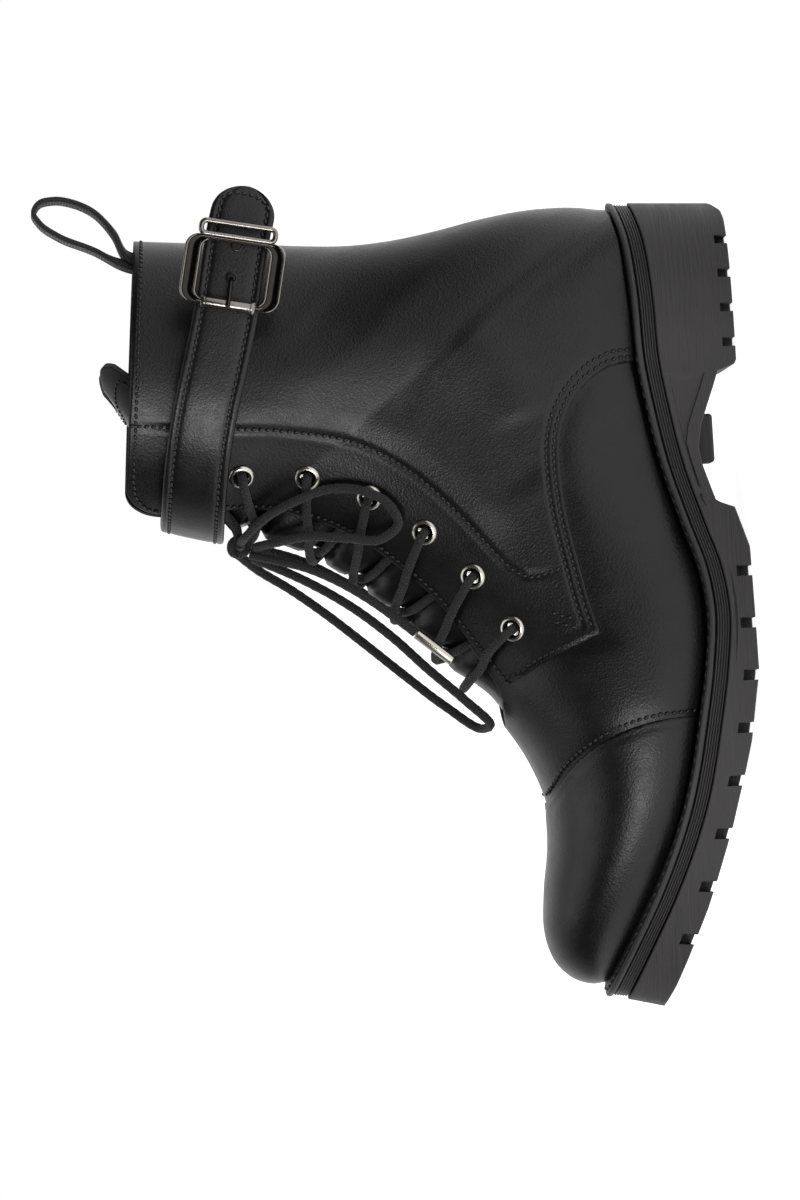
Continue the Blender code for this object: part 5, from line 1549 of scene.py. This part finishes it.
@dataclass
class Buckle:
    """Roller buckle: channelled frame, keeper ring, roller with collars and prong."""

    finishes: Materials
    corner_steps: int = 8
    keeper_corner: float = 2.6

    def on_buckle(self, along: np.ndarray, across: np.ndarray, out: np.ndarray) -> np.ndarray:
        """Boot points by the buckle's own directions: along the strap, across it, and outwards."""
        cosine, sine = math.cos(BUCKLE_SLOPE), math.sin(BUCKLE_SLOPE)
        forward, side, height = BUCKLE_MIDDLE
        along, across, out = np.broadcast_arrays(along, across, out)
        return np.stack([forward + along * cosine - across * sine, side + out,
                         height + along * sine + across * cosine], axis=-1)

    def outline(self, half_long: float, half_wide: float, radius: float) -> np.ndarray:
        """Rectangle with round corners, closed."""
        spots = []
        for quarter, (sx, sy) in enumerate([(1, 1), (-1, 1), (-1, -1), (1, -1)]):
            for angle in np.linspace(quarter, quarter + 1, self.corner_steps + 1) * math.pi / 2:
                spots.append((sx * (half_long - radius) + radius * math.cos(angle),
                              sy * (half_wide - radius) + radius * math.sin(angle)))
        return np.array(spots + spots[:1])

    def ring(self, size: Sequence[float], corner: float, shift: float, profile: Route) -> bmesh.types.BMesh:
        """Ring between two outlines.

        Args:
            size: length along the strap, width across it, and widths of the bars along and across.
            corner: radius of the outer corners.
            shift: how far it stands from the buckle's middle.
            profile: closed rows of (share from the outer to the inner outline, height).

        Returns:
            The ring.
        """
        long, wide, bar, rail = size
        outer = self.outline(long / 2, wide / 2, corner)
        inner = self.outline(long / 2 - bar, wide / 2 - rail, max(0.8, corner - bar))
        shares = np.array(profile)
        spots = outer[:, None] + (inner - outer)[:, None] * shares[:, :1]
        return lattice(self.on_buckle(spots[..., 0] + shift, spots[..., 1], shares[:, 1]))

    def build(self, nodes: dict[str, bpy.types.Object]) -> None:
        """Builds the buckle's pieces."""
        metal = self.finishes.gunmetal
        channel = [(0.0, 0.2), (0.02, 0.8), (0.07, 1.15), (0.12, 1.2), (0.17, 1.0), (0.2, 0.55), (0.27, 0.3),
                   (0.5, 0.2), (0.73, 0.3), (0.8, 0.55), (0.83, 1.0), (0.88, 1.2), (0.93, 1.15), (0.98, 0.8),
                   (1.0, 0.2), (0.97, -0.8), (0.88, -1.2), (0.12, -1.2), (0.03, -0.8), (0.0, 0.2)]
        wire = [(0.5 - 0.5 * math.cos(angle), 0.95 * math.sin(angle)) for angle in np.linspace(0, math.tau, 15)]
        long, wide, thick = KEEPER_SIZE
        frame = self.ring(BUCKLE_SIZE, BUCKLE_CORNER, 0.0, channel)
        # The faces on the frame's outermost crest, towards the camera's side, take the lighter roller finish as a
        # painted highlight on the rims; the rest take the dark gunmetal.
        highlight_crest = max(corner.co.x for corner in frame.verts) - 0.5 * MM
        for face in frame.faces:
            face.material_index = int(face.calc_center_median().x < highlight_crest)
        keeper = self.ring((long, wide, thick, thick), self.keeper_corner, KEEPER_SHIFT, wire)
        add_piece("buckle_frame_metal", join_shapes([frame, keeper]), [self.finishes.roller, metal],
                  ["buckle_frame"], sharp=60)
        half = ROLLER_LONG / 2
        collar = [(1.0, -half), (2.1, -half), (2.35, -half + 0.3), (2.35, -half + 1.3), (2.0, -half + 1.6),
                  (2.05, -half + 1.9)]
        profile = collar + [(radius, -rise) for radius, rise in collar[::-1]]
        front = (BUCKLE_SIZE[0] - BUCKLE_SIZE[2]) / 2
        middle = self.on_buckle(front, 0, 0)
        roller = stand(spun(profile, 32), middle, self.on_buckle(front, 1, 0) - middle)
        add_piece("buckle_roller_metal", roller, [self.finishes.roller], ["buckle_roller"])
        softened("buckle_prong_metal", nodes["buckle_prong"], metal, 0.25)
        softened("buckle_chape_leather", nodes["buckle_chape"], self.finishes.leather, 0.3)


@dataclass
class Zip:
    """Zip down the inner side: woven tape, small teeth, slider and hanging pull.

    A tooth's size is across, along and out of the tape. offset is how far it stands from the middle line, by
    turns to one side and the other, and lift its height over the last.
    """

    last: Last
    finishes: Materials
    pitch: float = 1.7
    tooth: tuple[float, float, float] = (2.6, 1.05, 1.3)
    offset: float = 0.7
    lift: float = 0.85

    def build(self, nodes: dict[str, bpy.types.Object]) -> None:
        """Builds the zip's pieces."""
        line = evenly(through(ZIP_LINE, 200), 201)
        spots = self.last.find(line, -1)
        ground, normals = self.last.points(*spots.T), self.last.normals(*spots.T)
        ahead = unit(np.gradient(ground, axis=0))
        across = np.cross(ahead, normals)
        run = run_of(ground)
        half = np.array([-5.6, -5.3, -2.9, -2.3, 2.3, 2.9, 5.3, 5.6])[:, None]
        rise = np.array([-0.3, 0.35, 0.5, 0.15, 0.15, 0.5, 0.35, -0.3])[:, None]
        points = ground[:, None] + across[:, None] * half + normals[:, None] * rise
        tape = add_piece("zip_tape", lattice(points, (run[-1], 11.0)),
                         [self.finishes.webbing])
        if tape.data.polygons[len(tape.data.polygons) // 2].normal.x > 0:
            tape.data.flip_normals()
        stops = np.linspace(0.8, run[-1] - 0.8, int(run[-1] / self.pitch))
        laid = read_rows(stops, run, np.hstack([ground, normals, across]))
        teeth = []
        for number, row in enumerate(laid):
            middle, normal, wide = row[:3], unit(row[3:6]), unit(row[6:])
            way = 1 if number % 2 else -1
            along = np.cross(wide, normal)
            tooth = bmesh.new()
            for corner in bmesh.ops.create_cube(tooth, size=1.0)["verts"]:
                corner.co = to_world(middle + wide * (way * self.offset + corner.co.x * self.tooth[0])
                                     + along * corner.co.y * self.tooth[1]
                                     + normal * (self.lift + corner.co.z * self.tooth[2]))[0]
            bmesh.ops.bevel(tooth, geom=tooth.edges[:], offset=0.22 * MM, segments=1, profile=0.5, affect="EDGES",
                            material=-1)
            teeth.append(tooth)
        add_piece("zip_teeth", join_shapes(teeth), [self.finishes.nickel], ["zip_chain"])
        softened("zip_slider_metal", nodes["zip_slider"], self.finishes.nickel, 0.35)
        softened("zip_pull_metal", nodes["zip_pull"], self.finishes.nickel, 0.3, "zip_pull")


# ---- Studio ------------------------------------------------------------------------------
@dataclass(frozen=True)
class Studio:
    """Pale floor, plain soft light and the camera.

    Lengths are metres. framed is the height of the view at the boot, which enlarge then tightens. A lamp is its
    name, place, size and power.
    """

    distance: float = 3.5
    sensor: float = 36.0
    framed: float = 0.5741626794
    swing: float = math.radians(1.2)
    height: float = 0.262
    roll: float = 0.0636
    enlarge: float = 1.35
    air: float = 0.06
    backdrop: float = 0.95
    floor_glow: float = 0.92
    lamps: tuple[tuple[str, tuple[float, float, float], float, float], ...] = (
        ("side_softbox", (1.5, -0.6, 0.3), 0.4, 8.5),
        ("top_softbox", (0.25, -0.1, 1.6), 1.2, 5.5))

    def build(self) -> None:
        """Makes the floor, the lights and the camera."""
        scene = bpy.context.scene
        scene.view_settings.view_transform = "Standard"
        world = bpy.data.worlds.new("studio_air")
        world.use_nodes = True
        scene.world = world
        tree = world.node_tree
        seen = add_node(tree, "ShaderNodeLightPath")
        way = add_node(tree, "ShaderNodeTexCoord")
        split = add_node(tree, "ShaderNodeSeparateXYZ", links={"Vector": way.outputs["Generated"]})
        room = add_node(tree, "ShaderNodeMapRange", {"From Min": -0.85, "From Max": 0.1, "To Min": self.backdrop,
                        "To Max": self.air}, {"Value": split.outputs["X"]})
        glow = add_node(tree, "ShaderNodeMath", links={0: seen.outputs["Is Camera Ray"], 1: room.outputs["Result"]},
                        operation="MAXIMUM")
        back = tree.nodes["Background"]
        back.inputs["Color"].default_value = (1, 1, 1, 1)
        tree.links.new(glow.outputs["Value"], back.inputs["Strength"])
        self.floor()
        low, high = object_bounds()
        middle = (Vector(low) + Vector(high)) / 2
        for name, spot, size, power in self.lamps:
            lamp = bpy.data.lights.new(name, "AREA")
            lamp.size = size
            lamp.energy = power
            made = bpy.data.objects.new(name, lamp)
            made.location = spot
            made.rotation_mode = "QUATERNION"
            made.rotation_quaternion = (middle - Vector(spot)).to_track_quat("-Z", "Y")
            scene.collection.objects.link(made)
        self.camera(middle)

    def floor(self) -> None:
        """A pale floor under the sole."""
        shape = bmesh.new()
        bmesh.ops.create_grid(shape, x_segments=1, y_segments=1, size=6.0)
        mesh = bpy.data.meshes.new("studio_floor")
        shape.to_mesh(mesh)
        shape.free()
        paint = bpy.data.materials.new("matt_white_floor")
        paint.use_nodes = True
        shader = paint.node_tree.nodes["Principled BSDF"]
        shader.inputs["Base Color"].default_value = (0.9, 0.9, 0.9, 1)
        shader.inputs["Roughness"].default_value = 0.9
        shader.inputs["Emission Color"].default_value = (1, 1, 1, 1)
        shader.inputs["Emission Strength"].default_value = self.floor_glow
        mesh.materials.append(paint)
        made = bpy.data.objects.new("studio_floor", mesh)
        bpy.context.scene.collection.objects.link(made)
        made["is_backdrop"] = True

    def camera(self, middle: Vector) -> None:
        """Stands the camera beside the boot, rolled so that the sole is at the right.

        Args:
            middle: the boot's middle.
        """
        data = bpy.data.cameras.new("camera")
        data.sensor_width = self.sensor
        data.lens = self.sensor * self.distance * self.enlarge / self.framed
        made = bpy.data.objects.new("camera", data)
        flat = self.distance * Vector((math.cos(self.swing), -math.sin(self.swing), 0))
        made.location = Vector((middle.x, middle.y, self.height)) + flat
        ahead = (middle - made.location).normalized()
        up = Vector((0, 1, -self.roll))
        up = (up - ahead * up.dot(ahead)).normalized()
        right = ahead.cross(up)
        turn = Matrix((right, up, -ahead)).transposed()
        made.rotation_mode = "QUATERNION"
        made.rotation_quaternion = turn.to_quaternion()
        bpy.context.scene.collection.objects.link(made)
        bpy.context.scene.camera = made


# ---- Laces -------------------------------------------------------------------------------
@dataclass
class Lacing:
    """Round braided lace: crossings, knot, two loops and two tipped ends."""

    last: Last
    finish: bpy.types.Material
    sides: int = 16
    step: float = 0.8
    strands: int = 8
    bulge: float = 0.10
    lay: float = 7.0
    routes: list[np.ndarray] = field(default_factory=list)

    def strand(self, name: str, route: Route, replaces: Sequence[str] = ()) -> bpy.types.Object:
        """One braided length along a route, closed at both ends.

        Args:
            name: the piece's name.
            route: its middle line.
            replaces: solids that it stands for.

        Returns:
            The new piece.
        """
        return add_piece(name, self.braid(route), [self.finish], replaces)

    def braid(self, route: Route) -> bmesh.types.BMesh:
        """Mesh of a braided length along a route."""
        span = run_of(through(route, 200))[-1]
        rows = max(8, int(span / self.step))
        line = through(route, rows + 1)
        _, first, second = frames(line)

        def bend(u: np.ndarray, v: np.ndarray) -> np.ndarray:
            k, angle = step_of(u, rows), v * math.tau
            twist = u * span / self.lay * math.tau
            weave = np.sin(self.strands / 2 * angle + twist) * np.sin(self.strands / 2 * angle - twist)
            radius = (LACE / 2 - self.bulge + self.bulge * weave)[:, None]
            return line[k] + radius * (np.cos(angle)[:, None] * first[k] + np.sin(angle)[:, None] * second[k])

        shape = bent_grid((rows, self.sides), bend, (span, math.pi * LACE))
        close_holes(shape)
        return shape

    def over(self, place: float, across: float, lift: float) -> np.ndarray:
        """Point over the throat: across is 0 on the ridge, 1 and -1 at the facings' edges."""
        side = 1.0 if across >= 0 else -1.0
        reach = side * (EDGE_REACH * min(abs(across), 1.0) + 0.09 * max(0.0, abs(across) - 1))
        return self.last.lifted(place, reach, lift)[0]

    def dive(self, place: float, side: int, steps: Sequence[tuple[float, float]],
             towards: np.ndarray) -> list[np.ndarray]:
        """Points that bend a strand into an eyelet.

        Args:
            place: the eyelet's place.
            side: the eyelet's side.
            steps: distance from its middle and height over the last, for each point.
            towards: the side that the strand comes from.

        Returns:
            The points, first the outermost.
        """
        spot = self.last.eyelet_spot(place, side)
        middle, normal = self.last.points(*spot)[0], self.last.normals(*spot)[0]
        away = towards - middle
        away = unit(away - normal * (away @ normal))
        return [middle + away * off + normal * lift for off, lift in steps]

    def level(self, guess: float, across: float, lift: float, ahead: np.ndarray, distance: float) -> np.ndarray:
        """Point over the throat whose distance along a direction is the wanted one."""
        low, high = guess - 3, min(guess + 3, self.last.end)
        place = guess
        for _ in range(22):
            place = (low + high) / 2
            low, high = (place, high) if self.over(place, across, 0) @ ahead < distance else (low, place)
        return self.over(place, across, lift)

    def crossings(self) -> None:
        """The bar over the lowest eyelets and the crossings above it."""
        places = self.last.eyelets
        first = places[0]
        ahead = unit(self.over(first + 0.3, 0, 0) - self.over(first - 0.3, 0, 0))
        base = self.last.eyelet_middle(first, 1) @ ahead
        middle = [self.level(first, across, lift, ahead, base - BAR_DIP * (1 - (across / 1.65) ** 2))
                  for across, lift in ((-1.35, 2.6), (-1, 2.3), (-0.6, 2.2), (-0.2, 2.2), (0.2, 2.2), (0.6, 2.2),
                                       (1, 2.3), (1.35, 2.6))]
        enter = [(3.6, 3.2), (1.5, 2.6), (0.2, 0.6), (0.0, -2.4)]
        bar = (self.dive(first, -1, enter, middle[0])[::-1] + middle + self.dive(first, 1, enter, middle[-1]))
        self.strand("lace_bar_braid", bar, ["lace_bar"])
        self.routes.append(through(bar, 60))
        for number, (low, high) in enumerate(zip(places, places[1:EYELETS - 1]), 1):
            for side, label, crown in ((1, "over", 2.3), (-1, "under", -1.2)):
                route = self.cross(low, high, side, crown)
                self.strand(f"lace_cross_{number}_{label}", route, [f"lace_cross_{number}"])
                self.routes.append(through(route, 60))

    def cross(self, low: float, high: float, side: int, crown: float) -> list[np.ndarray]:
        """Route of one crossing, from under one facing to the eyelet above it on the other.

        Args:
            low: place of the lower eyelets.
            high: place of the upper eyelets.
            side: side of the eyelet that it enters.
            crown: its height over the last on the ridge.

        Returns:
            The route.
        """
        middle = (low + high) / 2
        ahead = unit(self.over(middle + 0.3, 0, 0) - self.over(middle - 0.3, 0, 0))
        start_at, end_at = self.last.eyelet_middle(low, -side), self.last.eyelet_middle(high, side)
        start = (0.7 * start_at + 0.3 * end_at) @ ahead
        stop = end_at @ ahead - 1.0
        rise = -0.4 if crown > 0 else -1.3
        steps = [(-1.3, -3.7), (-1.1, -3.55), (-0.92, -2.9), (-0.7, -1.7), (-0.4, rise), (0.0, crown),
                 (0.3, 0.5 * crown + 0.9), (0.62, 1.8), (0.9, 2.3), (1.15, 2.4)]
        route = [self.level(middle, side * across, lift, ahead, start + (stop - start) * (across + 1) / 2.7)
                 for across, lift in steps]
        return route + self.dive(high, side, [(4.6, 2.8), (2.4, 3.1), (0.4, 1.2), (0.0, -2.4)], route[-1])

    def knot(self) -> None:
        """Knot of the bow: one turn of lace round the strands that meet in it, and its two feeds."""
        forward, side, height = KNOT
        turn = [(forward + 3.1 * math.cos(angle) * 0.9 + 0.5 * math.sin(angle), side + 1.3 * math.sin(angle / 2 - 0.6),
                 height + 3.0 * math.sin(angle)) for angle in np.linspace(-0.3, 6.5, 22)]
        parts = [self.braid(turn)]
        parts.append(self.braid([(forward - 0.6, side - 6.0, height + 0.6), (forward + 0.3, side - 2.6, height + 0.9),
                                 (forward + 0.2, side + 2.6, height - 0.4), (forward - 0.4, side + 6.2, height + 0.2)]))
        for way in (1, -1):
            parts.append(self.braid([(94.5, 17.6 * way, 184.4), (99.0, 13.6 * way, 183.0), (102.4, 10.2 * way, 180.4),
                                     (105.8, 6.2 * way, 178.2), (forward - 1.0, side + 2.0 * way, height + 0.4)]))
        add_piece("lace_knot_braid", join_shapes(parts), [self.finish], ["lace_knot"])

    def bow(self) -> None:
        """The loops and ends that hang from the knot, each a braided strand."""
        for name, route in (("lace_loop_lateral", LOOP_LATERAL), ("lace_loop_medial", LOOP_MEDIAL)):
            piece = self.strand(name + "_braid", route, [name])
            line = through(route, 120)
            tuple(to_world(line[0])[0])
            to_world(line).tolist()
        for label, route in (("lateral", END_LATERAL), ("medial", END_MEDIAL)):
            piece = self.strand(f"lace_end_{label}_braid", route, [f"lace_end_{label}"])
            line = through(route, 60)
            tuple(to_world(line[0])[0])
            to_world(line).tolist()


def main() -> None:
    """Builds the looks of every part of the boot in order."""
    logging.basicConfig(level=logging.INFO, format="%(message)s")
    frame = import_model()
    Studio().build()
    last = Last()
    finishes = Materials()
    lacing = Lacing(last, finishes.lace)
    lacing.bow()
    lacing.knot()
    lacing.crossings()
    Upper(last, finishes).build()
    Tongue(last, finishes, np.concatenate(lacing.routes)).build()
    Strap(finishes).build()
    PullLoop(finishes).build()
    SoleBands(finishes).build()
    Outsole(finishes.outsole).build()
    Eyelets(last, finishes.nickel).build()
    Buckle(finishes).build(frame["nodes"])
    Zip(last, finishes).build(frame["nodes"])
    softened("insole_board", frame["nodes"]["insole"], finishes.board, 0.4)
    for label in ("lateral", "medial"):
        softened(f"aglet_{label}_metal", frame["nodes"][f"aglet_{label}"], finishes.nickel, 0.3)
    looks = {"upper": finishes.leather, "tongue": finishes.leather, "outsole": finishes.outsole,
             "midsole": finishes.midsole, "welt": finishes.welt, "insole": finishes.board, "strap": finishes.leather,
             "buckle_chape": finishes.leather, "pull_loop": finishes.webbing, "zip": finishes.nickel,
             "eyelet": finishes.nickel, "aglet": finishes.nickel, "buckle": finishes.gunmetal, "lace": finishes.lace}
    for name, node in frame["nodes"].items():
        look = next((looks[key] for key in sorted(looks, key=len, reverse=True) if name.startswith(key)), None)
        node.data.materials.clear()
        node.data.materials.append(look)


if __name__ == "__main__":
    main()
